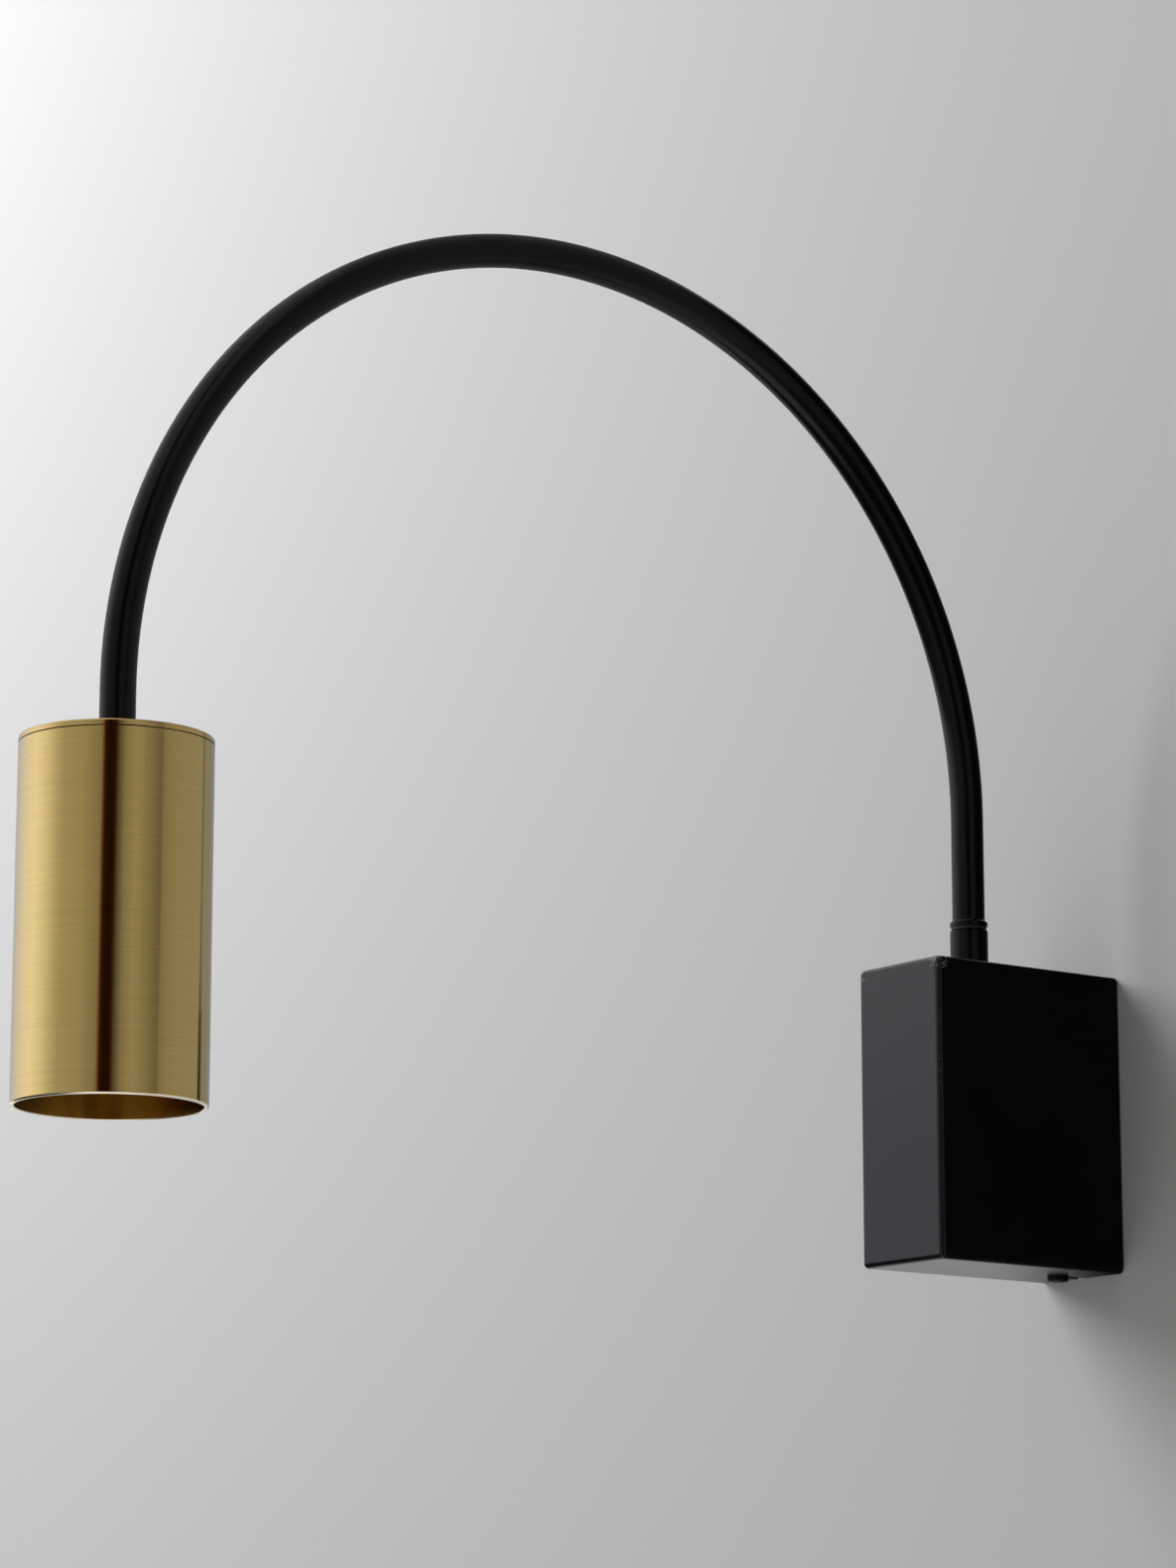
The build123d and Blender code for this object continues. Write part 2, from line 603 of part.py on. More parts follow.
def sector(radius, half_angle):
    """A pie slice about the negative Y axis."""
    start = -90 - half_angle
    arc = CenterArc((0, 0), radius, start, 2 * half_angle)
    return make_face([Line((0, 0), arc @ 0), arc, Line(arc @ 1, (0, 0))])


def stop_cam():
    """The keyed washer whose sector meets the stop pin at each end of the swing."""
    pin_half_angle = math.degrees(math.asin(STOP_PIN_DIAMETER / 2 / STOP_PIN_RADIUS))
    half_angle = 180 - SWING_DEGREES - pin_half_angle - STOP_MARGIN_DEGREES
    plate = sector(STOP_PIN_RADIUS + CAM_OVERHANG, half_angle) + Circle(CAM_HUB_DIAMETER / 2)
    plate = Pos(0, 0, CAM_UNDER) * extrude(plate, CAM_THICKNESS)
    return BASE_AXIS * (plate - key_flats(SPINDLE_DIAMETER + 0.1))


def spindle_nuts():
    nuts = []
    for place in (1, 2):
        low = CAM_UNDER - place * SPINDLE_NUT_HEIGHT
        nut = hex_nut(
            SPINDLE_NUT_ACROSS_FLATS, SPINDLE_DIAMETER + 0.04, low, low + SPINDLE_NUT_HEIGHT
        )
        nuts.append(BASE_AXIS * Rot(0, 0, 12 * place) * nut)
    return nuts


# ---------------------------------------------------------------- arm
def along_arm(section, start, end):
    """The section carried up the base leg, over the arch and down the head leg."""
    rise = BASE_AXIS * Pos(0, 0, start) * extrude(section, ARCH_LEVEL - start)
    arch_axis = Axis((0, ARCH_Y, ARCH_LEVEL), (1, 0, 0))
    arch = revolve(BASE_AXIS * Pos(0, 0, ARCH_LEVEL) * section, arch_axis, 180)
    fall = HEAD_AXIS * Pos(0, 0, end) * extrude(section, ARCH_LEVEL - end)
    return rise + arch + fall


def arm_tube():
    return along_arm(Circle(TUBE_DIAMETER / 2) - Circle(TUBE_BORE / 2), TUBE_START, HEAD_TOP)


def head_stub():
    """The threaded bush in the tube's end that carries the head."""
    plug = TUBE_BORE / 2 - PLUG_PLAY
    edge = 0.6
    section = [
        (STUB_BORE / 2, STUB_END),
        (STUB_DIAMETER / 2 - edge, STUB_END),
        (STUB_DIAMETER / 2, STUB_END + edge),
        (STUB_DIAMETER / 2, HEAD_TOP - edge),
        (plug, HEAD_TOP),
        (plug, HEAD_TOP + STUB_PLUG),
        (STUB_BORE / 2, HEAD_TOP + STUB_PLUG),
    ]
    return HEAD_AXIS * turned(section)


# ---------------------------------------------------------------- head
def shade_cap():
    rim = SHADE_DIAMETER / 2
    neck = rim - JOINT_GAP_DEPTH
    spigot = SHADE_BORE / 2 - CAP_SPIGOT_PLAY
    hole = STUB_DIAMETER / 2 + STUB_PLAY
    section = [
        (hole, HEAD_TOP),
        (rim - CAP_CHAMFER, HEAD_TOP),
        (rim, HEAD_TOP - CAP_CHAMFER),
        (rim, CAP_UNDER),
        (neck, CAP_UNDER),
        (neck, SHADE_TOP),
        (spigot, SHADE_TOP),
        (spigot, CAP_UNDER - CAP_SPIGOT_DEPTH),
        (spigot - CAP_SPIGOT_WALL, CAP_UNDER - CAP_SPIGOT_DEPTH),
        (spigot - CAP_SPIGOT_WALL, CAP_UNDER),
        (hole, CAP_UNDER),
    ]
    return HEAD_AXIS * turned(section)


def shade_tube():
    rim = SHADE_DIAMETER / 2
    bore = SHADE_BORE / 2
    section = [
        (bore, SHADE_TOP),
        (rim, SHADE_TOP),
        (rim, SHADE_RIM + SHADE_RIM_CHAMFER),
        (rim - SHADE_RIM_CHAMFER, SHADE_RIM),
        (bore + SHADE_RIM_CHAMFER / 2, SHADE_RIM),
        (bore, SHADE_RIM + SHADE_RIM_CHAMFER / 2),
    ]
    return HEAD_AXIS * turned(section)


def head_washer():
    bore = STUB_DIAMETER + 2 * STUB_PLAY
    return HEAD_AXIS * washer(HEAD_WASHER_DIAMETER, bore, UPPER_NUT_TOP, CAP_UNDER)


def head_nuts():
    nuts = []
    for top, turn in ((UPPER_NUT_TOP, 0), (LOWER_NUT_TOP, 20)):
        nut = hex_nut(HEAD_NUT_ACROSS_FLATS, STUB_DIAMETER + 0.04, top - HEAD_NUT_HEIGHT, top)
        nuts.append(HEAD_AXIS * Rot(0, 0, turn) * nut)
    return nuts


def lamp_hanger():
    """The bent strap between the stub and the lamp holder, its feet turned in over the holder."""
    low, high = HANGER_TOP - HANGER_DROP, HANGER_TOP
    outer = Pos(0, (low + high) / 2) * Rectangle(HANGER_LENGTH, high - low)
    outer = fillet(outer.vertices(), HANGER_BEND_RADIUS + HANGER_THICKNESS)
    inner = Pos(0, (low + high) / 2) * Rectangle(
        HANGER_LENGTH - 2 * HANGER_THICKNESS, high - low - 2 * HANGER_THICKNESS
    )
    inner = fillet(inner.vertices(), HANGER_BEND_RADIUS)
    gap = Pos(0, low) * Rectangle(HANGER_FOOT_GAP, 4 * HANGER_THICKNESS)
    strap = extrude(Plane.XZ * (outer - inner - gap), HANGER_WIDTH / 2, both=True)
    strap -= rod(STUB_DIAMETER + 2 * STUB_PLAY, HANGER_TOP - 2 * HANGER_THICKNESS, HANGER_TOP + CLEAR)
    for side in (1, -1):
        strap -= Pos(side * HOLDER_SCREW_SPACING / 2, 0, 0) * rod(
            HOLDER_SCREW_DIAMETER, HOLDER_TOP - CLEAR, HOLDER_TOP + 2 * HANGER_THICKNESS
        )
    return HEAD_AXIS * strap


def head_earth_tag():
    """The ring terminal between strap and lower nut, its barrel hanging in front of the strap."""
    ring = HEAD_NUT_ACROSS_FLATS + 2.0
    reach = head_barrel_offset()
    plate = Circle(ring / 2) + Pos(0, -reach / 2) * Rectangle(TAG_BARREL_DIAMETER, reach)
    plate -= Circle(STUB_DIAMETER / 2 + STUB_PLAY)
    plate = Pos(0, 0, LOWER_NUT_TOP) * extrude(plate, TAG_THICKNESS)
    outside = rod(TAG_BARREL_DIAMETER, TAG_TOP - TAG_BARREL_LENGTH, TAG_TOP)
    bore = rod(TAG_BARREL_BORE, TAG_TOP - TAG_BARREL_LENGTH - CLEAR, LOWER_NUT_TOP - CLEAR)
    return HEAD_AXIS * (plate + Pos(0, -reach, 0) * outside - Pos(0, -reach, 0) * bore)


def head_barrel_offset():
    """The tag's barrel, out from the head's axis, clear of the lower nut."""
    return HEAD_NUT_ACROSS_FLATS / math.sqrt(3) + TAG_BARREL_DIAMETER


# ---------------------------------------------------------------- lamp holder
def pin_slot(width, height):
    """The curved slot that one pin sweeps between locked, on +X, and free."""
    arc = CenterArc((0, 0), PIN_SPACING / 2, -LAMP_TWIST_DEGREES, LAMP_TWIST_DEGREES)
    return extrude(SlotArc(arc, width), height)


def both_pins(shape):
    return [Rot(0, 0, turn) * shape for turn in (0, 180)]


def lamp_holder():
    body = extrude(SlotOverall(HOLDER_LENGTH, HOLDER_WIDTH), HOLDER_HEIGHT)
    body = chamfer(body.edges().group_by(Axis.Z)[-1], HOLDER_EDGE_RADIUS)
    body = Pos(0, 0, HOLDER_UNDER) * body
    neck_width = PIN_NECK_DIAMETER + 2 * PIN_SIDE_PLAY
    head_width = PIN_HEAD_DIAMETER + 2 * PIN_SIDE_PLAY
    neck_slot = Pos(0, 0, HOLDER_UNDER - CLEAR) * pin_slot(neck_width, HOLDER_LIP + 2 * CLEAR)
    entry = Rot(0, 0, -LAMP_TWIST_DEGREES) * Pos(PIN_SPACING / 2, 0, 0) * rod(
        head_width, HOLDER_UNDER - CLEAR, CAVITY_FLOOR + CLEAR
    )
    cavity = Pos(0, 0, CAVITY_FLOOR) * pin_slot(head_width, HOLDER_CAVITY)
    lead_hole = Pos(PIN_SPACING / 2, 0, 0) * rod(
        LEAD_HOLE_DIAMETER, CAVITY_FLOOR + CLEAR, HOLDER_TOP + CLEAR
    )
    screw_hole = Pos(HOLDER_SCREW_SPACING / 2, 0, 0) * (
        rod(HOLDER_SCREW_DIAMETER + 0.4, HOLDER_UNDER - CLEAR, HOLDER_TOP + CLEAR)
        + rod(HOLDER_SCREW_DIAMETER * 2, HOLDER_UNDER - CLEAR, HOLDER_UNDER + HOLDER_SCREW_SINK)
    )
    for cutter in (neck_slot, entry, cavity, lead_hole, screw_hole):
        for placed in both_pins(cutter):
            body -= placed
    return HEAD_AXIS * body


def contact_post_top():
    return CONTACT_UNDER + HOLDER_CAVITY - PIN_LIFT - PIN_HEAD_HEIGHT


def holder_contacts():
    """A brass leaf over each pin's path, with the post that its lead is fixed to."""
    leaf = Pos(0, 0, CONTACT_UNDER) * pin_slot(PIN_HEAD_DIAMETER - 0.4, CONTACT_THICKNESS)
    post = Pos(PIN_SPACING / 2, 0, 0) * rod(
        LEAD_HOLE_DIAMETER - 0.6, CONTACT_UNDER, contact_post_top()
    )
    return [HEAD_AXIS * contact for contact in both_pins(leaf + post)]


def holder_screws():
    seat = HOLDER_UNDER + HOLDER_SCREW_SINK
    length = HOLDER_TOP + HANGER_THICKNESS - seat + THREAD_PROUD
    screw = pan_screw(HOLDER_SCREW_DIAMETER - 0.04, length, HOLDER_SCREW_DIAMETER * 1.8, 1.8)
    placed = both_pins(Pos(HOLDER_SCREW_SPACING / 2, 0, seat) * screw)
    return [HEAD_AXIS * one for one in placed]


# ---------------------------------------------------------------- lamp
def lamp_pins():
    neck = Pos(PIN_SPACING / 2, 0, 0) * rod(PIN_NECK_DIAMETER, LAMP_TOP, PIN_HEAD_UNDER)
    head = Pos(PIN_SPACING / 2, 0, 0) * chamfer(
        rod(PIN_HEAD_DIAMETER, PIN_HEAD_UNDER, PIN_TOP).edges().group_by(Axis.Z)[-1], 0.4
    )
    return [HEAD_AXIS * pin for pin in both_pins(neck + head)]


def lamp_body():
    """The lamp's moulded body: base, bell and rim in one turned form with cooling grooves."""
    base = LAMP_BASE_DIAMETER / 2
    rim = LAMP_DIAMETER / 2
    base_end = LAMP_TOP - LAMP_BASE_LENGTH
    rim_start = LAMP_FRONT + LAMP_RIM_LENGTH
    seat = rim - LAMP_RIM_WALL
    floor = LAMP_FRONT + LAMP_RECESS
    bell_radius = base + 0.42 * (rim - base)
    bell_level = base_end + 0.62 * (rim_start - base_end)
    bell = ThreePointArc((base, 0, base_end), (bell_radius, 0, bell_level), (rim, 0, rim_start))
    before = Polyline(
        (0, 0, floor),
        (0, 0, LAMP_TOP),
        (base - 1, 0, LAMP_TOP),
        (base, 0, LAMP_TOP - 1),
        (base, 0, base_end),
    )
    after = Polyline(
        (rim, 0, rim_start),
        (rim, 0, LAMP_FRONT + 0.6),
        (rim - 0.6, 0, LAMP_FRONT),
        (seat, 0, LAMP_FRONT),
        (seat, 0, floor),
        (0, 0, floor),
    )
    body = revolve(make_face([before, bell, after]), Axis.Z)
    slope = math.degrees(math.atan2(rim - base, base_end - rim_start))
    run = math.hypot(rim - base, base_end - rim_start)
    groove = Box(LAMP_FIN_DEPTH * 2, LAMP_FIN_WIDTH, run * 0.55)
    groove = Pos(bell_radius, 0, bell_level) * Rot(0, -slope, 0) * groove
    for step in range(LAMP_FIN_COUNT):
        body -= Rot(0, 0, 360 * step / LAMP_FIN_COUNT) * groove
    return HEAD_AXIS * body


def lamp_lens():
    """The frosted front, crowned outwards and set back inside the rim."""
    radius = LAMP_DIAMETER / 2 - LAMP_RIM_WALL - 0.1
    back = LAMP_FRONT + LAMP_RECESS
    edge = back - LENS_THICKNESS
    crown_radius = (radius**2 + LENS_CROWN**2) / (2 * LENS_CROWN)
    crown = Pos(0, 0, edge - LENS_CROWN + crown_radius) * Sphere(crown_radius)
    return HEAD_AXIS * (rod(2 * radius, edge - LENS_CROWN, back) & crown)


# ---------------------------------------------------------------- inner cable
def core_place(angle):
    turn = math.radians(angle)
    return CORE_SPREAD * math.cos(turn), CORE_SPREAD * math.sin(turn)


def arm_cable():
    """The sheathed cable from the splice on the swivel's axis, through the tube, into the head."""
    return along_arm(Circle(CABLE_DIAMETER / 2), SPLICE, HEAD_SHEATH_END)


def base_cable():
    """The sheathed tail under the swivel. It meets the arm's cable on the swivel's axis, where the
    two faces stay together as the arm turns."""
    return BASE_AXIS * rod(CABLE_DIAMETER, BASE_SHEATH_END, SPLICE)


def base_core(core):
    """A core from the sheath's end, through a slack bend, to its terminal or to the earth tag."""
    x, y = core_place(BASE_CORES[core])
    y -= ARM_SETBACK
    if core == "earth":
        end_x, end_y, mouth = earth_barrel_mouth()
        points = [
            (x, y, BASE_SHEATH_END),
            (x, y, BASE_SHEATH_END - EARTH_CORE_DROP),
            (end_x, end_y, mouth - CORE_LOOP),
            (end_x, end_y, mouth + CORE_ENTRY),
        ]
        return core_along(points, CORE_BEND)
    way = terminal_ways()[1 if core == "live" else 0]
    drop = LIVE_CORE_DROP if core == "live" else NEUTRAL_CORE_DROP
    points = [
        (x, y, BASE_SHEATH_END),
        (x, y, BASE_SHEATH_END - drop),
        (way, TERMINAL_Y, TERMINAL_LEVEL + TERMINAL_LENGTH / 2 + CORE_LOOP),
        (way, TERMINAL_Y, TERMINAL_LEVEL - TERMINAL_SCREW_SPACING / 2),
    ]
    return core_along(points, CORE_BEND)


def head_core(core):
    """A core from the sheath's end in the shade to the holder's contact or to the earth tag."""
    x, y = core_place(HEAD_CORES[core])
    y += HEAD_Y
    if core == "earth":
        barrel = HEAD_Y - head_barrel_offset()
        radius = (y - barrel) / 2
        bottom = (x, y - radius, HEAD_SHEATH_END - radius)
        loop = ThreePointArc((x, y, HEAD_SHEATH_END), bottom, (x, barrel, HEAD_SHEATH_END))
        barrel_mouth = TAG_TOP - TAG_BARREL_LENGTH
        rise = Line((x, barrel, HEAD_SHEATH_END), (x, barrel, barrel_mouth + CORE_ENTRY))
        start = Plane(origin=(x, y, HEAD_SHEATH_END), z_dir=(0, 0, -1))
        return sweep(start * Circle(CORE_DIAMETER / 2), path=Wire([loop, rise]))
    side = 1 if core == "live" else -1
    contact_x = side * PIN_SPACING / 2
    points = [
        (x, y, HEAD_SHEATH_END),
        (x, y, HEAD_SHEATH_END - HEAD_CORE_DROP),
        (contact_x, HEAD_Y, HOLDER_TOP + HEAD_CORE_STRAIGHT),
        (contact_x, HEAD_Y, contact_post_top()),
    ]
    return core_along(points, CORE_HEAD_BEND)


# ---------------------------------------------------------------- write the parts
PIECES = [
    base_cover,
    wall_bracket,
    cover_screws,
    cable_grommet,
    terminal_block,
    terminal_sleeves,
    terminal_screws,
    terminal_fixing,
    earth_tag,
    earth_screw,
    top_stiffener,
    stop_pin,
    swivel_collar,
    collar_nut,
    base_cable,
    swivel_washer,
    swivel_spindle,
    disc_spring,
    stop_cam,
    spindle_nuts,
    arm_tube,
    arm_cable,
    head_stub,
    shade_cap,
    shade_tube,
    head_washer,
    head_nuts,
    lamp_hanger,
    head_earth_tag,
    lamp_holder,
    holder_contacts,
    holder_screws,
    lamp_body,
    lamp_lens,
    lamp_pins,
]


def write(name, solids):
    """One file a node. Like pieces, such as a set of screws, are one group."""
    if isinstance(solids, list):
        solids = Compound(children=solids)
    export_step(solids, f"parts/{name}.step")


os.makedirs("parts", exist_ok=True)
for piece in PIECES:
    write(piece.__name__, piece())
for core in BASE_CORES:
    write(f"base_{core}_core", base_core(core))
    write(f"head_{core}_core", head_core(core))
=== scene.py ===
# %% [markdown]
# # An arched wall light with a brass cylinder
#
# A black steel box stands on a wall. A black tube rises from it, turns over in a half circle and
# comes down into a brushed brass cylinder with a reflector lamp inside. The hard parts come from
# the CAD model and stay where it puts them. This lesson gives them their finishes, remakes the
# pieces whose curves carry the picture, and lights and frames them as the photograph does.

# %% Load the model
import json
import math

import bmesh
import bpy
from mathutils import Matrix, Vector


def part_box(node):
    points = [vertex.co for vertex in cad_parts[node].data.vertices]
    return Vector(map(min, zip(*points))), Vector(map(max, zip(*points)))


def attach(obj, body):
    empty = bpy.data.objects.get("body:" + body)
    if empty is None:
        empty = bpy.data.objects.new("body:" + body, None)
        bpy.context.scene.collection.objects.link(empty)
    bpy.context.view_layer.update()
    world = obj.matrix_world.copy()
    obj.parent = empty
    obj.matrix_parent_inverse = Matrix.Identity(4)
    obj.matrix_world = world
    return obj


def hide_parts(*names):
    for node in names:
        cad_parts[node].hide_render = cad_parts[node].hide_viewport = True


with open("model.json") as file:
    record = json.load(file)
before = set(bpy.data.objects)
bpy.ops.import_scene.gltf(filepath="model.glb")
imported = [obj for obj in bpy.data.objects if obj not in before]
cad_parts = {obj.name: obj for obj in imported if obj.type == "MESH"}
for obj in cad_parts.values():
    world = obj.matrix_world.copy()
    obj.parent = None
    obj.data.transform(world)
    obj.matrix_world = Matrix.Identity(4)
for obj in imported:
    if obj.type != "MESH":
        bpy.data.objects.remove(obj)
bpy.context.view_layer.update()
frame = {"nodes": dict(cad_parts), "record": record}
MM = 0.001

# %% [markdown]
# ## Sizes that the CAD pieces give
#
# A remade piece has to lie exactly where its CAD solid lies, so its sizes are read from the boxes
# round the CAD nodes. Only what a box can't tell, such as a wall or a small chamfer, is a number
# here. The arch, for one, follows from the box round the tube: its ends are on two upright axes
# whose distance is twice the arch's radius.

# %% Read the sizes
tube_low, tube_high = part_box("arm_tube")
shade_low, shade_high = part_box("shade_tube")
cap_low, cap_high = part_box("shade_cap")
lens_low, lens_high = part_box("lamp_lens")
cover_low, cover_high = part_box("base_cover")
TUBE_RADIUS = (tube_high.x - tube_low.x) / 2
BASE_Y = tube_high.y - TUBE_RADIUS
HEAD_Y = tube_low.y + TUBE_RADIUS
ARCH_RADIUS = (BASE_Y - HEAD_Y) / 2
ARCH_Y = (BASE_Y + HEAD_Y) / 2
ARCH_Z = tube_high.z - ARCH_RADIUS - TUBE_RADIUS
TUBE_WALL = 1 * MM
SHADE_RADIUS = (shade_high.x - shade_low.x) / 2
SHADE_WALL = 1.5 * MM
LENS_RADIUS = (lens_high.x - lens_low.x) / 2
print("arch radius", round(ARCH_RADIUS / MM, 2), "mm")
print("shade radius", round(SHADE_RADIUS / MM, 2), "mm")

# %% [markdown]
# ## Writing shader maths as sums
#
# A finish is a formula over the surface, such as fine lines times a slow stain. Placing a Math node
# for each plus sign hides that formula, so one small class wraps a socket, and Python's operators
# on it add the nodes. Everything else, such as a noise, comes from one method that takes the node's
# type, its settings and the values or links of its sockets.


# %% The shader helper
class Wire:
    """A value in a node tree that Python's sums and products work on."""

    def __init__(self, tree, socket):
        self.tree = tree
        self.socket = socket

    def math(self, operation, *operands):
        return self.tree.node("Math", {"operation": operation}, dict(enumerate(operands)))

    def __add__(self, other):
        return self.math("ADD", self, other)

    def __sub__(self, other):
        return self.math("SUBTRACT", self, other)

    def __rsub__(self, other):
        return self.math("SUBTRACT", other, self)

    def __mul__(self, other):
        return self.math("MULTIPLY", self, other)

    def __truediv__(self, other):
        return self.math("DIVIDE", self, other)

    def __pow__(self, other):
        return self.math("POWER", self, other)

    __radd__ = __add__
    __rmul__ = __mul__

    def size(self):
        return self.math("ABSOLUTE", self)

    def rising(self, start, end):
        """0 up to start, 1 from end, and a smooth step between them. It falls if end is lower."""
        low, high = min(start, end), max(start, end)
        sockets = {"Value": self, "From Min": low, "From Max": high}
        step = self.tree.node("MapRange", {"interpolation_type": "SMOOTHSTEP"}, sockets)
        return step if end > start else 1 - step

    def stops(self, table):
        """A grey level read from a table of (value, level) stops, with straight runs between."""
        first, last = table[0][0], table[-1][0]
        along = (self - first) / (last - first)
        levels = [((value - first) / (last - first), level) for value, level in table]
        return self.tree.node("ValToRGB", {"stops": levels}, {"Fac": along})


class Nodes:
    """A node tree with one way to make any node in it."""

    def __init__(self, owner):
        owner.use_nodes = True
        self.tree = owner.node_tree
        self.tree.nodes.clear()

    def plug(self, value, socket):
        if isinstance(value, Wire):
            self.tree.links.new(value.socket, socket)
        elif isinstance(value, (tuple, list)) and len(value) == 3 and socket.type == "RGBA":
            socket.default_value = (*value, 1)
        else:
            socket.default_value = value

    def node(self, kind, settings=None, sockets=None, output=0):
        """One node of any type. Its settings are made before its sockets are plugged."""
        made = self.tree.nodes.new("ShaderNode" + kind)
        for setting, value in (settings or {}).items():
            if setting == "stops":
                while len(made.color_ramp.elements) < len(value):
                    made.color_ramp.elements.new(0.5)
                for stop, (at, level) in zip(made.color_ramp.elements, value):
                    stop.position, stop.color = at, (level, level, level, 1)
            else:
                setattr(made, setting, value)
        for socket, value in (sockets or {}).items():
            self.plug(value, made.inputs[socket])
        return Wire(self, made.outputs[output])

    def part(self, vector, axis):
        return self.node("SeparateXYZ", None, {0: vector}, output=axis)

    def glow(self, level):
        return self.node("Emission", None, {"Color": level, "Strength": 1.0})

    def mix(self, factor, first, second):
        """One shader where the factor is 0, the other where it is 1."""
        return self.node("MixShader", None, {0: factor, 1: first, 2: second})

    def fade(self, amount, first, second):
        """A value between two values."""
        return self.node("Mix", None, {"Factor": amount, "A": first, "B": second})

    def blend(self, amount, first, second):
        """A colour between two colours. The Mix node's colour sockets are told by number."""
        sockets = {"Factor": amount, 6: first, 7: second}
        return self.node("Mix", {"data_type": "RGBA"}, sockets, output=2)


class Finish(Nodes):
    """A material under construction, which ends in one Principled shader."""

    def __init__(self, name, **constants):
        self.material = bpy.data.materials.new(name)
        super().__init__(self.material)
        self.output = self.tree.nodes.new("ShaderNodeOutputMaterial").inputs["Surface"]
        self.shader = self.tree.nodes.new("ShaderNodeBsdfPrincipled")
        self.tree.links.new(self.shader.outputs[0], self.output)
        self.end(**constants)

    def place(self, centre=(0, 0, 0), stretch=(1, 1, 1)):
        """The point on the piece, from a centre, with each axis stretched."""
        here = self.node("TexCoord", output="Object")
        moved = self.node("VectorMath", {"operation": "SUBTRACT"}, {0: here, 1: centre})
        return self.node("VectorMath", {"operation": "MULTIPLY"}, {0: moved, 1: stretch})

    def noise(self, vector, scale, detail=2.0, roughness=0.5):
        """A noise of about 0 to 1. Its scale is in waves to the metre."""
        sockets = {"Vector": vector, "Scale": scale, "Detail": detail, "Roughness": roughness}
        return self.node("TexNoise", None, sockets)

    def bump(self, height, depth):
        """A normal from a height of 0 to 1 that is worth a real depth in metres."""
        return self.node("Bump", None, {"Height": height, "Distance": depth, "Strength": 1.0})

    def end(self, **values):
        """Plugs constants and links into the shader, and returns the material."""
        for socket, value in values.items():
            self.plug(value, self.shader.inputs[socket.replace("_", " ")])
        return self.material


print("shader helper ready")

# %% [markdown]
# ## Black powder coat
#
# Powder is sprayed on dry and baked, so it flows into a satin skin with a very fine orange peel.
# Two noises make that: one of about a millimetre and a half for the peel, and a finer one for the
# grain that breaks up the highlight. The colour stays almost black, and the roughness wanders a
# little where hands and dust have been. The tube's coat throws back less light than the box's.


# %% Make the powder coat
COAT_SHEEN = (0.88, 0.88, 0.85)
COAT_CLEAN = (0.0025, 0.0025, 0.003)
COAT_DUSTY = (0.005, 0.005, 0.0055)
# a slightly lighter black, for the painted light on the front's top
COAT_TOP_LIGHT = (0.02, 0.02, 0.019)
# pale rubbed coat, also used for the painted highlight along the front fold
COAT_WORN_AND_HIGHLIGHT = (0.30, 0.29, 0.28)
PEEL_DEPTH = 0.012 * MM


def powder_coat(name, gloss, satin, wear_and_light=None):
    """A black coat. The optional function gives each point's painted top light, and its wear with a
    painted highlight.
    """
    finish = Finish(name, Specular_IOR_Level=gloss, Specular_Tint=COAT_SHEEN)
    here = finish.place()
    peel = finish.noise(here, 620, 2)
    grain = finish.noise(here, 3600, 2)
    wiped = finish.noise(here, 26, 4, 0.6)
    colour = finish.blend(wiped.rising(0.35, 0.7), COAT_CLEAN, COAT_DUSTY)
    roughness = satin + 0.07 * wiped + 0.05 * grain
    normal = finish.bump(0.75 * peel + 0.25 * grain, PEEL_DEPTH)
    if wear_and_light:
        # painted light lifts the front's top, and the pale colour shows both wear and a painted
        # highlight
        painted_top_light, wear_and_highlight = wear_and_light(finish)
        colour = finish.blend(painted_top_light, colour, COAT_TOP_LIGHT)
        colour = finish.blend(wear_and_highlight, colour, COAT_WORN_AND_HIGHLIGHT)
        roughness = roughness + 0.15 * wear_and_highlight
    return finish.end(Base_Color=colour, Roughness=roughness, Normal=normal)


# %% [markdown]
# The folded box has seen a little life: along its sharpest ridges the coat is rubbed thin, in short
# specks, and most of all at the two upper front corners, which meet shoulders and ladders. A point
# is near a ridge when it is close to two faces of the box at once, and near a corner when it is
# close to three. The distances come from the CAD box, and a noise breaks the places into specks.
# The fold over the front carries a fine pale line, a painted highlight, and the front's top is
# painted very slightly lighter, as painted light from above.


# %% Wear on the box's ridges
RIDGE_BAND = (1.3 * MM, 0.3 * MM)
CORNER_BAND = (6 * MM, 1 * MM)
FOLD_BEHIND_FRONT = (2.2 * MM, 1.6 * MM)
FOLD_UNDER_TOP = (1.4 * MM, 0.7 * MM)
TOP_LIGHT_HEIGHTS = (-30 * MM, 55 * MM)


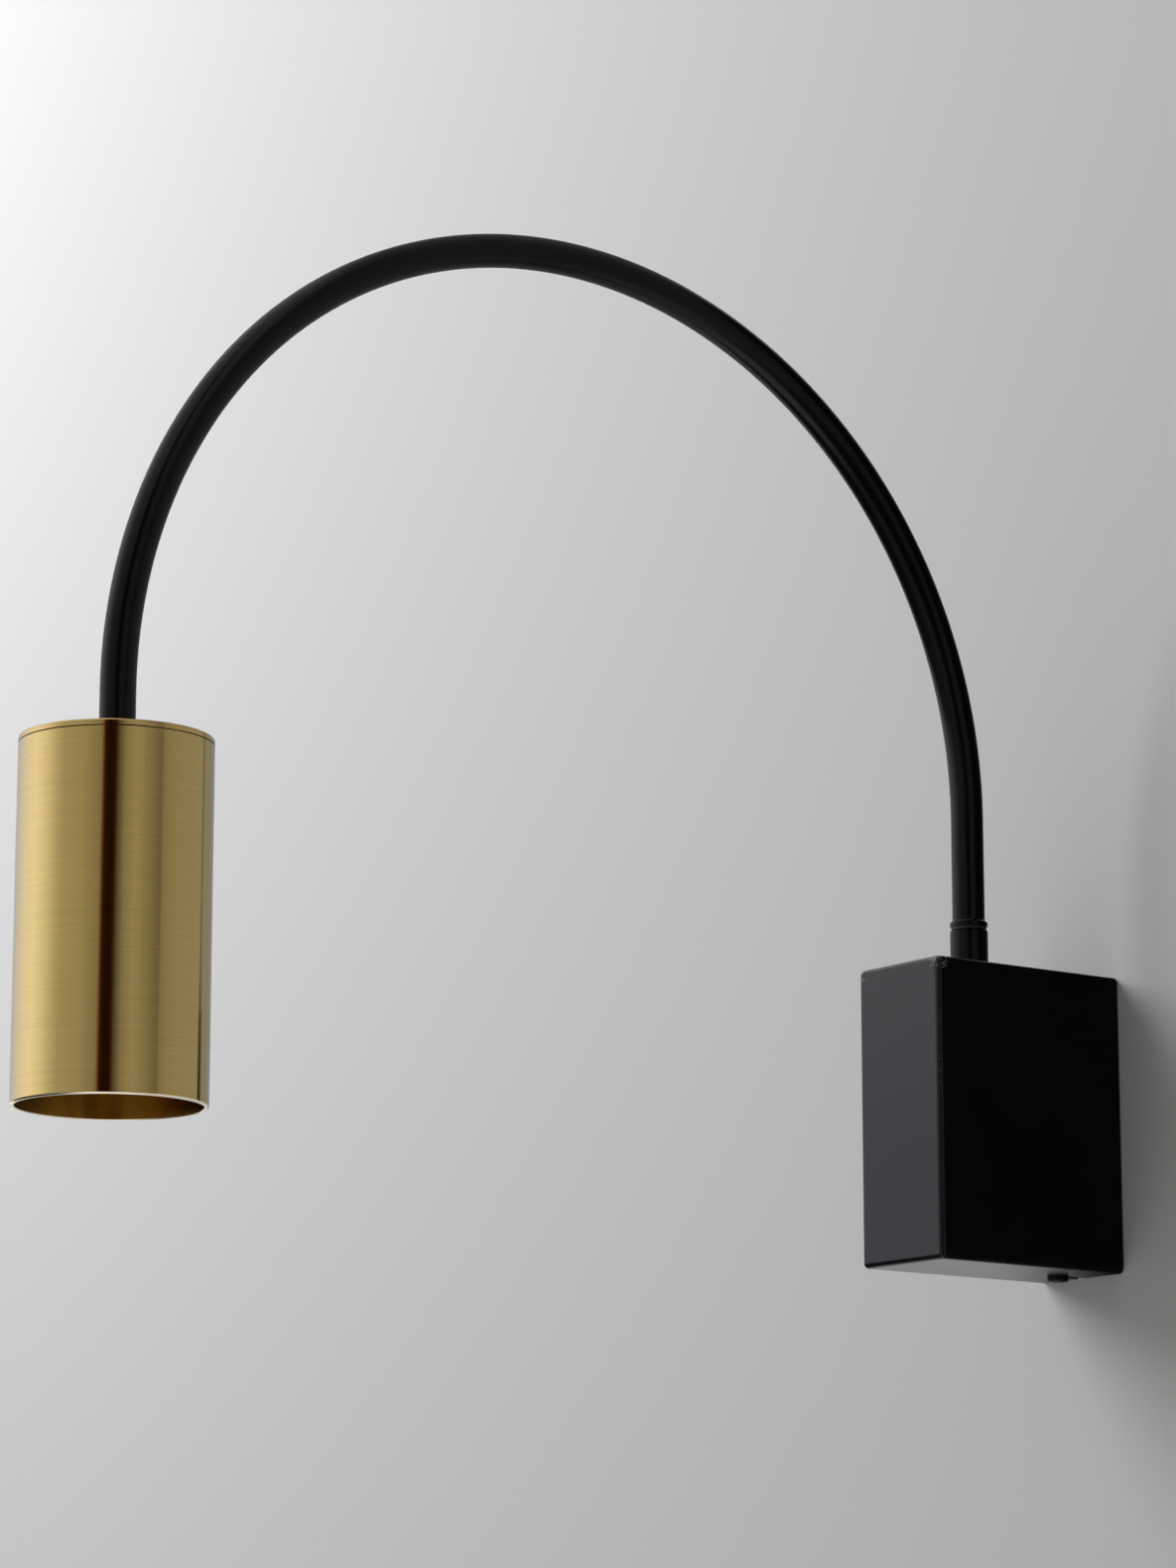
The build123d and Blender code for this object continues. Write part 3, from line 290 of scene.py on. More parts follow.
def wear_and_painted_light(finish):
    """Each point's painted light on the front's top, and its wear with a painted highlight on the
    front fold.
    """
    here = finish.place()
    to_side = cover_high.x - finish.part(here, "X").size()
    to_front = finish.part(here, "Y") - cover_low.y
    to_top = cover_high.z - finish.part(here, "Z").size()
    distances = (to_side, to_front, to_top)
    close = [distance.rising(*RIDGE_BAND) for distance in distances]
    ridge = close[0] * close[1] + close[1] * close[2] + close[0] * close[2]
    above = cover_high.z - finish.part(here, "Z")
    wide = [distance.rising(*CORNER_BAND) for distance in (to_side, to_front, above)]
    corner = (wide[0] * wide[1] * wide[2]).rising(0.03, 0.25)
    fine = finish.noise(here, 900, 3, 0.65)
    stretches = finish.noise(here, 34, 2).rising(0.50, 0.62)
    # painted highlight: a pale line along the front fold, where the bend meets the light from above
    fold = to_front.rising(*FOLD_BEHIND_FRONT) * above.rising(*FOLD_UNDER_TOP)
    wear_and_highlight = 0.6 * ridge * stretches * fine.rising(0.58, 0.64) + corner * fine.rising(0.53, 0.58)
    wear_and_highlight = wear_and_highlight + 0.5 * fold * fine.rising(0.25, 0.55)
    # painted light: the front is lighter towards its top
    painted_top_light = close[1] * finish.part(here, "Z").rising(*TOP_LIGHT_HEIGHTS)
    return painted_top_light, wear_and_highlight


BOX_COAT = powder_coat("box_coat", gloss=0.5, satin=0.20, wear_and_light=wear_and_painted_light)
ARM_COAT = powder_coat("arm_coat", gloss=0.27, satin=0.17)
print("powder coats", BOX_COAT.name, ARM_COAT.name)

# %% [markdown]
# ## Brushed brass
#
# The cylinder was turned on a lathe while a fine pad scratched lines round it, and then lacquered.
# The lines are far finer than the picture can show. What shows is their work: they smear each
# reflection up and down but leave it sharp from side to side, so a light becomes a tall even band.
# The shader's anisotropy does that smearing. Its own lines run round the upright axis, which is
# right here, and a quarter turn sends the blur across them. A faint noise, about a hundred times
# as long as it is high, keeps single lines in sight, and the lacquer is the shader's clear coat. On
# the cap's flat top the lines are rings, so that finish follows the distance from the axis.


# %% Make the brass
DEEP_BRASS = (0.75, 0.515, 0.135)
LIGHT_BRASS = (0.84, 0.60, 0.175)
# the bore's colours are darker than the outer brass: painted shade inside the cylinder
BORE_SHADES = ((0.52, 0.29, 0.035), (0.62, 0.35, 0.05))
BORE_SHADE_BRASS = (0.30, 0.14, 0.03)
BORE_SHADE_HEIGHTS = (-20 * MM, 50 * MM)
LIP_SHADES = ((0.93, 0.84, 0.66), (0.97, 0.90, 0.76))
# near black for the narrow gap under the cap: painted shade
GAP_SHADE_COLOURS = ((0.02, 0.010, 0.003), (0.05, 0.028, 0.008))
SMEAR = {"Anisotropic": 0.95, "Anisotropic_Rotation": 0.25}
LACQUER = {"Coat_Weight": 0.9, "Coat_Roughness": 0.03, "Coat_IOR": 1.7}


def brushed_brass(name):
    finish = Finish(name, Metallic=1.0, **SMEAR, **LACQUER)
    coarse = finish.noise(finish.place((0, HEAD_Y, 0), (14, 14, 1300)), 1, 3, 0.6)
    fine = finish.noise(finish.place((0, HEAD_Y, 0), (50, 50, 6000)), 1, 1)
    stain = finish.noise(finish.place((0, HEAD_Y, 0), (1, 1, 0.4)), 30, 4, 0.55)
    lines = 0.4 * coarse + 0.6 * fine
    colour = finish.blend((0.8 * lines + 0.2 * stain).rising(0.3, 0.7), DEEP_BRASS, LIGHT_BRASS)
    lean = finish.node("CombineXYZ", None, {"Z": 0.015 * (lines - 0.5)})
    normal = finish.node("NewGeometry", output="Normal")
    leaning = finish.node("VectorMath", {"operation": "ADD"}, {0: normal, 1: lean})
    smooth = finish.node("VectorMath", {"operation": "NORMALIZE"}, {0: leaning})
    roughness = 0.13 + 0.04 * fine + 0.03 * stain
    return finish.end(Base_Color=colour, Roughness=roughness, Normal=smooth)


def faced_brass(name):
    finish = Finish(name, Metallic=1.0, **SMEAR, **LACQUER)
    here = finish.place((0, HEAD_Y, 0))
    radius = (finish.part(here, "X") ** 2 + finish.part(here, "Y") ** 2) ** 0.5
    rings = finish.noise(finish.node("CombineXYZ", None, {"X": radius * 2600}), 1, 3, 0.6)
    stain = finish.noise(here, 45, 3)
    colour = finish.blend(0.7 * rings + 0.3 * stain, DEEP_BRASS, LIGHT_BRASS)
    normal = finish.bump(rings, 0.006 * MM)
    roughness = 0.17 + 0.08 * rings + 0.04 * stain
    return finish.end(Base_Color=colour, Roughness=roughness, Normal=normal)


def raw_brass(name):
    """The bore: bored smooth and never lacquered. Its colours are darker than the outside, and
    darker still towards the top, as painted shade inside the cylinder.
    """
    finish = Finish(name, Metallic=1.0, **SMEAR)
    here = finish.place((0, HEAD_Y, 0))
    # painted shade: darker further up inside the cylinder
    bore_shade = finish.part(here, "Z").rising(*BORE_SHADE_HEIGHTS)
    stain = finish.noise(here, 60, 4, 0.6)
    bore_colour = finish.blend(stain, *BORE_SHADES)
    colour = finish.blend(0.5 * bore_shade + 0.15 * stain, bore_colour, BORE_SHADE_BRASS)
    lathe = finish.noise(finish.place((0, HEAD_Y, 0), (8, 8, 1500)), 1, 2)
    normal = finish.bump(lathe, 0.002 * MM)
    return finish.end(Base_Color=colour, Roughness=0.17 + 0.08 * stain, Normal=normal)


def lip_brass(name):
    """The lip: faced square after lacquering, so it is bare, bright and paler."""
    finish = Finish(name, Metallic=1.0)
    marks = finish.noise(finish.place((0, HEAD_Y, 0)), 900, 2)
    colour = finish.blend(marks, *LIP_SHADES)
    return finish.end(Base_Color=colour, Roughness=0.16 + 0.10 * marks)


def gap_brass(name):
    """The narrow gap under the cap, painted near black as painted shade in the gap."""
    finish = Finish(name, Metallic=0.6)
    gap_shade = finish.noise(finish.place(), 500, 3)
    colour = finish.blend(gap_shade, *GAP_SHADE_COLOURS)
    return finish.end(Base_Color=colour, Roughness=0.5 + 0.2 * gap_shade)


SHADE_BRASS = brushed_brass("shade_brass")
CAP_BRASS = faced_brass("cap_brass")
BORE_BRASS = raw_brass("bore_brass")
LIP_BRASS = lip_brass("lip_brass")
GAP_BRASS = gap_brass("gap_brass")
BRASSES = [SHADE_BRASS, CAP_BRASS, BORE_BRASS, LIP_BRASS, GAP_BRASS]
print("brass", [brass.name for brass in BRASSES])

# %% [markdown]
# ## The metals that hide
#
# Zinc-plated sheet has a cool, slightly cloudy shine with rolling marks along one direction.
# Turned brass and steel hardware has fine tool marks and duller spots of tarnish. Only the black
# screw under the box shows in the photograph, but the box can be seen from behind and the cylinder
# from below, so each metal gets its own colours.


# %% Make the hidden metals
ZINC_SHADES = ((0.52, 0.53, 0.53), (0.68, 0.68, 0.66))


def zinc_sheet(name):
    finish = Finish(name, Metallic=1.0)
    rolled = finish.noise(finish.place((0, 0, 0), (1800, 1800, 60)), 1, 2)
    cloud = finish.noise(finish.place(), 55, 4, 0.6)
    colour = finish.blend(cloud.rising(0.3, 0.7), *ZINC_SHADES)
    normal = finish.bump(rolled, 0.01 * MM)
    roughness = 0.26 + 0.16 * cloud + 0.08 * rolled
    return finish.end(Base_Color=colour, Roughness=roughness, Normal=normal)


def turned_metal(name, light, dark, roughness=0.26):
    finish = Finish(name, Metallic=1.0)
    marks = finish.noise(finish.place(), 1400, 2)
    tarnish = finish.noise(finish.place(), 210, 3, 0.6)
    colour = finish.blend(tarnish.rising(0.35, 0.7), light, dark)
    normal = finish.bump(marks, 0.012 * MM)
    return finish.end(Base_Color=colour, Roughness=roughness + 0.14 * tarnish, Normal=normal)


ZINC = zinc_sheet("zinc_sheet_steel")
SCREW_STEEL = turned_metal("screw_steel", (0.66, 0.66, 0.64), (0.5, 0.5, 0.49))
SPRING_STEEL = turned_metal("spring_steel_oiled", (0.34, 0.34, 0.36), (0.2, 0.19, 0.19), 0.3)
TERMINAL_BRASS = turned_metal("machined_brass", (0.78, 0.6, 0.27), (0.56, 0.4, 0.17))
BLACK_STEEL = turned_metal("blackened_screw_steel", (0.035, 0.035, 0.037), (0.02, 0.02, 0.02), 0.34)
METALS = [ZINC, SCREW_STEEL, SPRING_STEEL, TERMINAL_BRASS, BLACK_STEEL]
print("metals", [metal.name for metal in METALS])

# %% [markdown]
# ## Plastics, rubber and ceramic
#
# Moulded and extruded pieces differ in colour, gloss and grain, so one function makes them all.
# Ceramic is unglazed and finely pitted. The earth core has a yellow stripe on green, which on the
# real wire winds slowly round it, and here follows the wire's height and side, in radians to the
# metre.


# %% Make the moulded finishes
EARTH_SHADES = ((0.05, 0.26, 0.035), (0.62, 0.5, 0.03))
STRIPE_UP = 260
STRIPE_ACROSS = 900


def moulded(name, light, dark, roughness, grain, depth):
    finish = Finish(name, Specular_IOR_Level=0.45)
    here = finish.place()
    pits = finish.noise(here, grain, 3, 0.6)
    dust = finish.noise(here, 90, 3, 0.6)
    colour = finish.blend(dust.rising(0.35, 0.7), light, dark)
    normal = finish.bump(pits, depth)
    return finish.end(Base_Color=colour, Roughness=roughness + 0.1 * dust, Normal=normal)


def striped_core(name):
    finish = Finish(name, Specular_IOR_Level=0.45)
    here = finish.place()
    slant = finish.part(here, "Z") * STRIPE_UP + finish.part(here, "X") * STRIPE_ACROSS
    stripe = slant.math("SINE", slant).rising(0.1, 0.3)
    colour = finish.blend(stripe, *EARTH_SHADES)
    dust = finish.noise(here, 90, 3)
    return finish.end(Base_Color=colour, Roughness=0.42 + 0.1 * dust)


FINE_PITS = 0.006 * MM
PITS = 0.01 * MM
NYLON_PITS = 0.012 * MM
COARSE_PITS = 0.03 * MM
NYLON_BLACK = moulded("black_nylon", (0.018, 0.018, 0.019), (0.028, 0.028, 0.028), 0.42, 1500, PITS)
NYLON_WHITE = moulded("white_nylon", (0.76, 0.75, 0.70), (0.68, 0.66, 0.60), 0.40, 900, NYLON_PITS)
RUBBER = moulded("grommet_rubber", (0.024,) * 3, (0.04,) * 3, 0.62, 1200, COARSE_PITS)
SHEATH = moulded("cable_sheath", (0.032, 0.032, 0.034), (0.045, 0.045, 0.047), 0.5, 800, PITS)
CORE_BROWN = moulded("brown_core", (0.17, 0.07, 0.03), (0.13, 0.05, 0.02), 0.42, 800, FINE_PITS)
CORE_BLUE = moulded("blue_core", (0.02, 0.11, 0.42), (0.015, 0.08, 0.32), 0.42, 800, FINE_PITS)
CORE_GREEN = striped_core("green_yellow_core")
CERAMIC = moulded("unglazed_ceramic", (0.80, 0.78, 0.73), (0.70, 0.67, 0.61), 0.6, 1700, COARSE_PITS)
LAMP_SHELL = moulded("lamp_shell", (0.76, 0.76, 0.74), (0.70, 0.70, 0.68), 0.34, 1100, FINE_PITS)
print("moulded finishes ready")

# %% [markdown]
# ## The lamp's front
#
# The lamp isn't lit in the photograph, and it is too far up the cylinder to show there. From below,
# its frosted, milky lens is a pale disc. A rough, faintly see-through shader is enough, because
# what lies behind is as pale as the lens.

# %% Make the lens finish
LENS_SHADES = ((0.86, 0.86, 0.84), (0.93, 0.93, 0.92))
frosted = Finish("frosted_lens", Transmission_Weight=0.25, IOR=1.5)
milk = frosted.noise(frosted.place(), 130, 2)
LENS = frosted.end(
    Base_Color=frosted.blend(milk, *LENS_SHADES),
    Roughness=0.28 + 0.1 * milk,
    Normal=frosted.bump(frosted.noise(frosted.place(), 1500, 1), 0.02 * MM),
)
print("lens", LENS.name)

# %% [markdown]
# ## Dress the CAD pieces
#
# Each CAD node keeps its mesh, and only its material slot is filled. The table names a finish for
# each slot of the model's record, so a node finds its finish through its own slot. The box has a
# coat of its own, with the wear.

# %% Give each CAD node its finish
finishes = {
    "black_coat": ARM_COAT,
    "brushed_brass": SHADE_BRASS,
    "zinc_steel": ZINC,
    "screw_black": BLACK_STEEL,
    "screw_zinc": SCREW_STEEL,
    "terminal_brass": TERMINAL_BRASS,
    "nut_brass": TERMINAL_BRASS,
    "spring_steel": SPRING_STEEL,
    "bearing_nylon": NYLON_BLACK,
    "terminal_nylon": NYLON_WHITE,
    "grommet_rubber": RUBBER,
    "cable_sheath": SHEATH,
    "core_brown": CORE_BROWN,
    "core_blue": CORE_BLUE,
    "core_green": CORE_GREEN,
    "ceramic": CERAMIC,
    "lamp_white": LAMP_SHELL,
    "lamp_frost": LENS,
}
slot_of = {part["node"]: part["material_slot"] for part in frame["record"]["subparts"]}
for node, piece in frame["nodes"].items():
    for material_slot in piece.material_slots:
        material_slot.material = finishes[slot_of[node]]
frame["nodes"]["base_cover"].material_slots[0].material = BOX_COAT
print("dressed", len(frame["nodes"]), "nodes with", len(finishes), "finishes")

# %% [markdown]
# ## Finishing a remade piece
#
# Three pieces carry the picture: the tube, the cylinder and its cap. Their CAD meshes are cut into
# flat facets, which show as breaks in a long highlight, so they are made again with many more
# steps, and so is the lamp's lens, for its rings. One helper finishes each of them: it welds
# doubles, turns the faces outwards, marks the sharp edges and hands the mesh to the model. The
# cylinder, the cap and the lens are spun from an outline. The first two also get a small round on
# each sharp edge.

# %% The finishing helpers
SHARP = math.radians(32)
WELD = 1e-7
EDGE_ROUND = 0.06 * MM
TURNED_STEPS = 288


def ease(mesh):
    """A small round on every sharp edge. No real edge is a knife's."""
    sharp = [edge for edge in mesh.edges if edge.is_manifold and edge.calc_face_angle() > SHARP]
    bmesh.ops.bevel(
        mesh,
        geom=sharp,
        offset=EDGE_ROUND,
        segments=2,
        profile=0.5,
        affect="EDGES",
        material=-1,
        clamp_overlap=True,
    )


def hand_over(mesh, name, body, materials, node):
    """Makes the piece, lets it ride on its body and stand for its CAD node."""
    bmesh.ops.remove_doubles(mesh, verts=mesh.verts, dist=WELD)
    bmesh.ops.recalc_face_normals(mesh, faces=mesh.faces)
    for face in mesh.faces:
        face.smooth = True
    for edge in mesh.edges:
        edge.smooth = edge.is_manifold and edge.calc_face_angle() < SHARP
    data = bpy.data.meshes.new(name)
    mesh.to_mesh(data)
    mesh.free()
    piece = bpy.data.objects.new(name, data)
    bpy.context.scene.collection.objects.link(piece)
    for material in materials:
        data.materials.append(material)
    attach(piece, body)
    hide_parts(node)
    print(name, len(data.polygons), "faces")


def held(profile, reach=0.3 * MM):
    """The closed outline with an extra point near both ends of each long run.

    Smooth shading blends the directions of a face's corners. Without these points, the small
    rounds at the edges would tip the shading of the whole face."""
    outline = []
    for start, end in zip(profile, profile[1:] + profile[:1]):
        start, end = Vector(start), Vector(end)
        along = end - start
        outline.append(start)
        if along.length > 4 * reach:
            step = along.normalized() * reach
            outline += [start + step, end - step]
    return outline


def spun(outline, steps, closed):
    """A bmesh from an outline of (radius, height), spun round the cylinder's axis."""
    mesh = bmesh.new()
    corners = [mesh.verts.new((radius, HEAD_Y, height)) for radius, height in outline]
    following = corners[1:] + corners[:1] if closed else corners[1:]
    edges = [mesh.edges.new(pair) for pair in zip(corners, following)]
    bmesh.ops.spin(
        mesh,
        geom=corners + edges,
        cent=(0, HEAD_Y, 0),
        axis=(0, 0, 1),
        angle=math.tau,
        steps=steps,
        use_merge=True,
    )
    bmesh.ops.remove_doubles(mesh, verts=mesh.verts, dist=WELD)
    return mesh


def turned_piece(profile):
    """A ring-shaped piece with eased edges, from its closed outline."""
    mesh = spun(held(profile), TURNED_STEPS, closed=True)
    bmesh.ops.recalc_face_normals(mesh, faces=mesh.faces)
    ease(mesh)
    return mesh


# %% [markdown]
# ## The bent tube
#
# The real arm is one 12 mm tube, pushed round a former into a half circle, with a straight leg at
# each end. The mesh goes the same way: two rings of edges, the outside and the bore, are extruded
# up the first leg, spun half a turn about the arch's centre, and extruded down the second leg. The
# two ends are then closed between the rings.

# %% Bend the tube
TUBE_SIDES = 72
ARCH_STEPS = 150
tube = bmesh.new()
rings = []
for radius in (TUBE_RADIUS, TUBE_RADIUS - TUBE_WALL):
    place = Matrix.Translation((0, BASE_Y, tube_low.z))
    made = bmesh.ops.create_circle(tube, segments=TUBE_SIDES, radius=radius, matrix=place)
    rings += list({edge for corner in made["verts"] for edge in corner.link_edges})
first_end = list(rings)


def pull(edges, travel):
    """Extrudes the edges by a vector and returns the new edges."""
    grown = bmesh.ops.extrude_edge_only(tube, edges=edges)["geom"]
    corners = [item for item in grown if isinstance(item, bmesh.types.BMVert)]
    bmesh.ops.translate(tube, verts=corners, vec=travel)
    return [item for item in grown if isinstance(item, bmesh.types.BMEdge) and item.is_boundary]


rings = pull(rings, (0, 0, ARCH_Z - tube_low.z))
turned = bmesh.ops.spin(
    tube,
    geom=rings + list({corner for edge in rings for corner in edge.verts}),
    cent=(0, ARCH_Y, ARCH_Z),
    axis=(1, 0, 0),
    angle=math.pi,
    steps=ARCH_STEPS,
)
rings = [item for item in turned["geom_last"] if isinstance(item, bmesh.types.BMEdge)]
rings = pull(rings, (0, 0, cap_high.z - ARCH_Z))
bmesh.ops.bridge_loops(tube, edges=first_end)
bmesh.ops.bridge_loops(tube, edges=rings)
hand_over(tube, "bent_tube", "arm", [ARM_COAT], "arm_tube")

# %% [markdown]
# ## The brass cylinder
#
# A length of thin tube, open below, with its mouth turned square and both corners of the lip broken
# by a small chamfer that catches the light as a bright line. The cap sits on top with a spigot
# inside, and a fine shadow line is left between the two.

# %% Turn the cylinder
LIP = 0.5 * MM
LIP_INSIDE = 0.25 * MM
UPRIGHT = 0.3  # a face is upright while its normal rises less than this
bore = SHADE_RADIUS - SHADE_WALL
shade_middle = (shade_low.z + shade_high.z) / 2
shade_outline = [
    (bore, shade_high.z),
    (SHADE_RADIUS, shade_high.z),
    (SHADE_RADIUS, shade_low.z + LIP),
    (SHADE_RADIUS - LIP, shade_low.z),
    (bore + LIP_INSIDE, shade_low.z),
    (bore, shade_low.z + LIP_INSIDE),
]
shade = turned_piece(shade_outline)
shade_finishes = [SHADE_BRASS, BORE_BRASS, LIP_BRASS, GAP_BRASS]
for face in shade.faces:
    centre = face.calc_center_median()
    from_axis = centre.xy - Vector((0, HEAD_Y))
    if abs(face.normal.z) < UPRIGHT:
        seen = BORE_BRASS if face.normal.xy.dot(from_axis) < 0 else SHADE_BRASS
    else:
        seen = LIP_BRASS if centre.z < shade_middle else GAP_BRASS
    face.material_index = shade_finishes.index(seen)
hand_over(shade, "brass_cylinder", "arm", shade_finishes, "shade_tube")

# %% Turn the cap
CAP_THICKNESS = 2 * MM
CAP_EDGE = 0.4 * MM
SHADOW_LINE = 0.3 * MM
SHADOW_DEPTH = 0.7 * MM
SPIGOT_PLAY = 0.05 * MM
SPIGOT_WALL = 2 * MM
STUB_HOLE = 5.1 * MM
NEAR_UNDERSIDE = 0.01 * MM
cap_under = cap_high.z - CAP_THICKNESS
cap_outline = [
    (STUB_HOLE, cap_high.z),
    (SHADE_RADIUS - CAP_EDGE, cap_high.z),
    (SHADE_RADIUS, cap_high.z - CAP_EDGE),
    (SHADE_RADIUS, cap_under),
    (SHADE_RADIUS - SHADOW_DEPTH, cap_under),
    (SHADE_RADIUS - SHADOW_DEPTH, cap_under - SHADOW_LINE),
    (bore - SPIGOT_PLAY, cap_under - SHADOW_LINE),
    (bore - SPIGOT_PLAY, cap_low.z),
    (bore - SPIGOT_PLAY - SPIGOT_WALL, cap_low.z),
    (bore - SPIGOT_PLAY - SPIGOT_WALL, cap_under),
    (STUB_HOLE, cap_under),
]
cap = turned_piece(cap_outline)
cap_finishes = [CAP_BRASS, BORE_BRASS, SHADE_BRASS, GAP_BRASS]
for face in cap.faces:
    centre = face.calc_center_median()
    from_axis = centre.xy - Vector((0, HEAD_Y))
    if centre.z < cap_under + NEAR_UNDERSIDE:
        seen = GAP_BRASS if from_axis.length > bore else BORE_BRASS
    else:
        seen = SHADE_BRASS if abs(face.normal.z) < UPRIGHT else CAP_BRASS
    face.material_index = cap_finishes.index(seen)
hand_over(cap, "brass_cap", "arm", cap_finishes, "shade_cap")

# %% [markdown]
# ## The lamp's lens
#
# The front of a reflector lamp is moulded in rings, so that it spreads the beam. The outline of the
# lens steps through a row of small waves on its front and is flat behind, and one spin makes the
# disc. The crown of the CAD lens is kept as the height that the waves ride on.

# %% Mould the lens
RING_COUNT = 9
RING_POINTS = 6
RING_DEPTH = 0.35 * MM
EDGE_THICKNESS = 1.6 * MM
LENS_STEPS = 128
crown = lens_high.z - EDGE_THICKNESS - lens_low.z
front = []
for step in range(RING_COUNT * RING_POINTS + 1):
    radius = LENS_RADIUS * step / (RING_COUNT * RING_POINTS)
    dome = lens_low.z + crown * (radius / LENS_RADIUS) ** 2
    wave = RING_DEPTH / 2 * (1 - math.cos(math.tau * step / RING_POINTS))
    front.append((radius, dome + wave))
lens_outline = front + [(LENS_RADIUS, lens_high.z), (0, lens_high.z)]
lens = spun(lens_outline, LENS_STEPS, closed=False)
hand_over(lens, "ringed_lens", "lamp", [LENS], "lamp_lens")

# %% [markdown]
# ## The room
#
# The light hangs on a plain pale wall, with a plain pale floor far below. Both are only a stage.
# The wall must not shade the back of the box when the camera goes round behind it, so it casts no
# shadow, sends back no diffuse light, and is clear from behind. Polished brass shows whatever
# stands around it, so reflections see the wall as a glow, brightest on the left. The black pieces
# stand close to the wall. On their right they see it dark, in their own soft shadow, and on their
# left as bright as the window makes it. A table gives the wall's glow by the place along it, in
# metres, and another gives the floor's by the bearing from under the lamp, in degrees from +X.

# %% Build the wall and the floor
WALL_GREY = 0.78
WALL_GAP = 0.5 * MM
WALL_WIDTH = 14
WALL_HEIGHT = 6
WALL_MIDDLE = 1.2
WALL_GLOW = [
    (-4, 0.55), (-1.2, 0.50), (-0.4, 0.27), (-0.15, 0.25), (0.05, 0.32),
    (0.4, 0.315), (0.87, 0.24), (0.9, 0.155), (1.6, 0.215), (3, 0.26),
]
LOW_WALL = (-45 * MM, -120 * MM)
LOW_LIFT = 0.9
NEAR_WALL = (340 * MM, 220 * MM)
SHADOW_SIDE = (-40 * MM, 20 * MM)
SHADOW_STRENGTH = 0.95
LIT_SIDE = (0, -60 * MM)
LIT_STRENGTH = 0.25
FLOOR_SIDE = 30
FLOOR_HEIGHT = -1.3
FLOOR_GLOW = [
    (-180, 0.05), (-133, 0.05), (-60, 1.0), (-47, 0.75), (-44, 0.02), (-28, 0.02),
    (-12, 0.1), (15, 0.6), (50, 0.5), (100, 0.05), (180, 0.05),
]
FLOOR_STRENGTH = 0.36
PATCH_RADII = (0.75, 0.4)
PATCH_LEVEL = 0.95


def backdrop(name, level_of):
    """A pale surface, clear from behind, that reflections see as a glow."""
    grey = (WALL_GREY,) * 3
    finish = Finish(name, Base_Color=grey, Roughness=0.9, Specular_IOR_Level=0.2)
    glow = finish.glow(level_of(finish, finish.place()))
    mirrored = finish.node("LightPath", output="Is Glossy Ray")
    through = finish.node("LightPath", output="Is Transmission Ray")
    paint = Wire(finish, finish.shader.outputs[0])
    seen = finish.mix(mirrored.math("MAXIMUM", mirrored, through), paint, glow)
    behind = finish.node("NewGeometry", output="Backfacing")
    clear = finish.node("BsdfTransparent")
    finish.plug(finish.mix(behind, seen, clear), finish.output)
    return finish.material


def wall_level(finish, here):
    """The wall's glow. It is lighter low down, and changes for what stands close to it."""
    across, up = finish.part(here, "X"), finish.part(here, "Z")
    close = finish.node("LightPath", output="Ray Length").rising(*NEAR_WALL)
    shadow = close * across.rising(*SHADOW_SIDE)
    lit = close * across.rising(*LIT_SIDE)
    glow = across.stops(WALL_GLOW) * (1 + LOW_LIFT * up.rising(*LOW_WALL))
    return glow * (1 - SHADOW_STRENGTH * shadow) + LIT_STRENGTH * lit


def floor_level(finish, here):
    """The floor's glow. Its bearings show in the lower brass, and a bright patch lights the lip."""
    east, north = finish.part(here, "X"), finish.part(here, "Y") - HEAD_Y
    bearing = north.math("ARCTAN2", north, east) * math.degrees(1)
    patch = ((east ** 2 + north ** 2) ** 0.5).rising(*PATCH_RADII)
    return bearing.stops(FLOOR_GLOW) * FLOOR_STRENGTH * (1 - patch) + PATCH_LEVEL * patch


def panel(name, width, height, place, material):
    """A flat stage piece. It faces -Y before its place turns it."""
    mesh = bmesh.new()
    upright = Matrix.Rotation(math.radians(90), 4, "X")
    bmesh.ops.create_grid(mesh, x_segments=1, y_segments=1, size=0.5, matrix=upright)
    bmesh.ops.scale(mesh, vec=(width, 1, height), verts=mesh.verts)
    bmesh.ops.transform(mesh, matrix=place, verts=mesh.verts)
    data = bpy.data.meshes.new(name)
    mesh.to_mesh(data)
    mesh.free()
    sheet = bpy.data.objects.new(name, data)
    bpy.context.scene.collection.objects.link(sheet)
    data.materials.append(material)
    sheet.visible_shadow = False
    sheet.visible_diffuse = False
    return sheet


standing = Matrix.Translation((0, WALL_GAP, WALL_MIDDLE))
lying = Matrix.Translation((0, 0, FLOOR_HEIGHT)) @ Matrix.Rotation(math.radians(-90), 4, "X")
wall_paint = backdrop("wall_paint", wall_level)
floor_paint = backdrop("floor_paint", floor_level)
wall = panel("wall", WALL_WIDTH, WALL_HEIGHT, standing, wall_paint)
floor = panel("floor", FLOOR_SIDE, FLOOR_SIDE, lying, floor_paint)
print("wall faces", wall.data.polygons[0].normal.to_tuple(1))
print("floor faces", floor.data.polygons[0].normal.to_tuple(1))

# %% [markdown]
# ## Light
#
# One broad soft light stands to the left, a metre out from the wall and well above the lamp. It
# meets the wall at a slant, so the wall fades from light to mid grey across the picture, and it
# throws the box's soft shadow to the right. A weak fill comes from all round, more of it from the
# left, and three times as much from below, which lights the lamp's face. A second weak light stands
# behind the wall, for whoever looks at the box's back.
#
# What the brass shows is a photographer's room: a wide bright window area on the left that fades
# slowly, one dark upright panel beside the camera with a hard left edge, and a dimmer room on the
# right. The table gives the level for each direction round the lamp, in degrees from +X. It is
# seen by reflections alone. High up, a pale ceiling brightens the upper edges. What reflections
# see of the left is a little cooler, and the little that the panel sends back is warm.

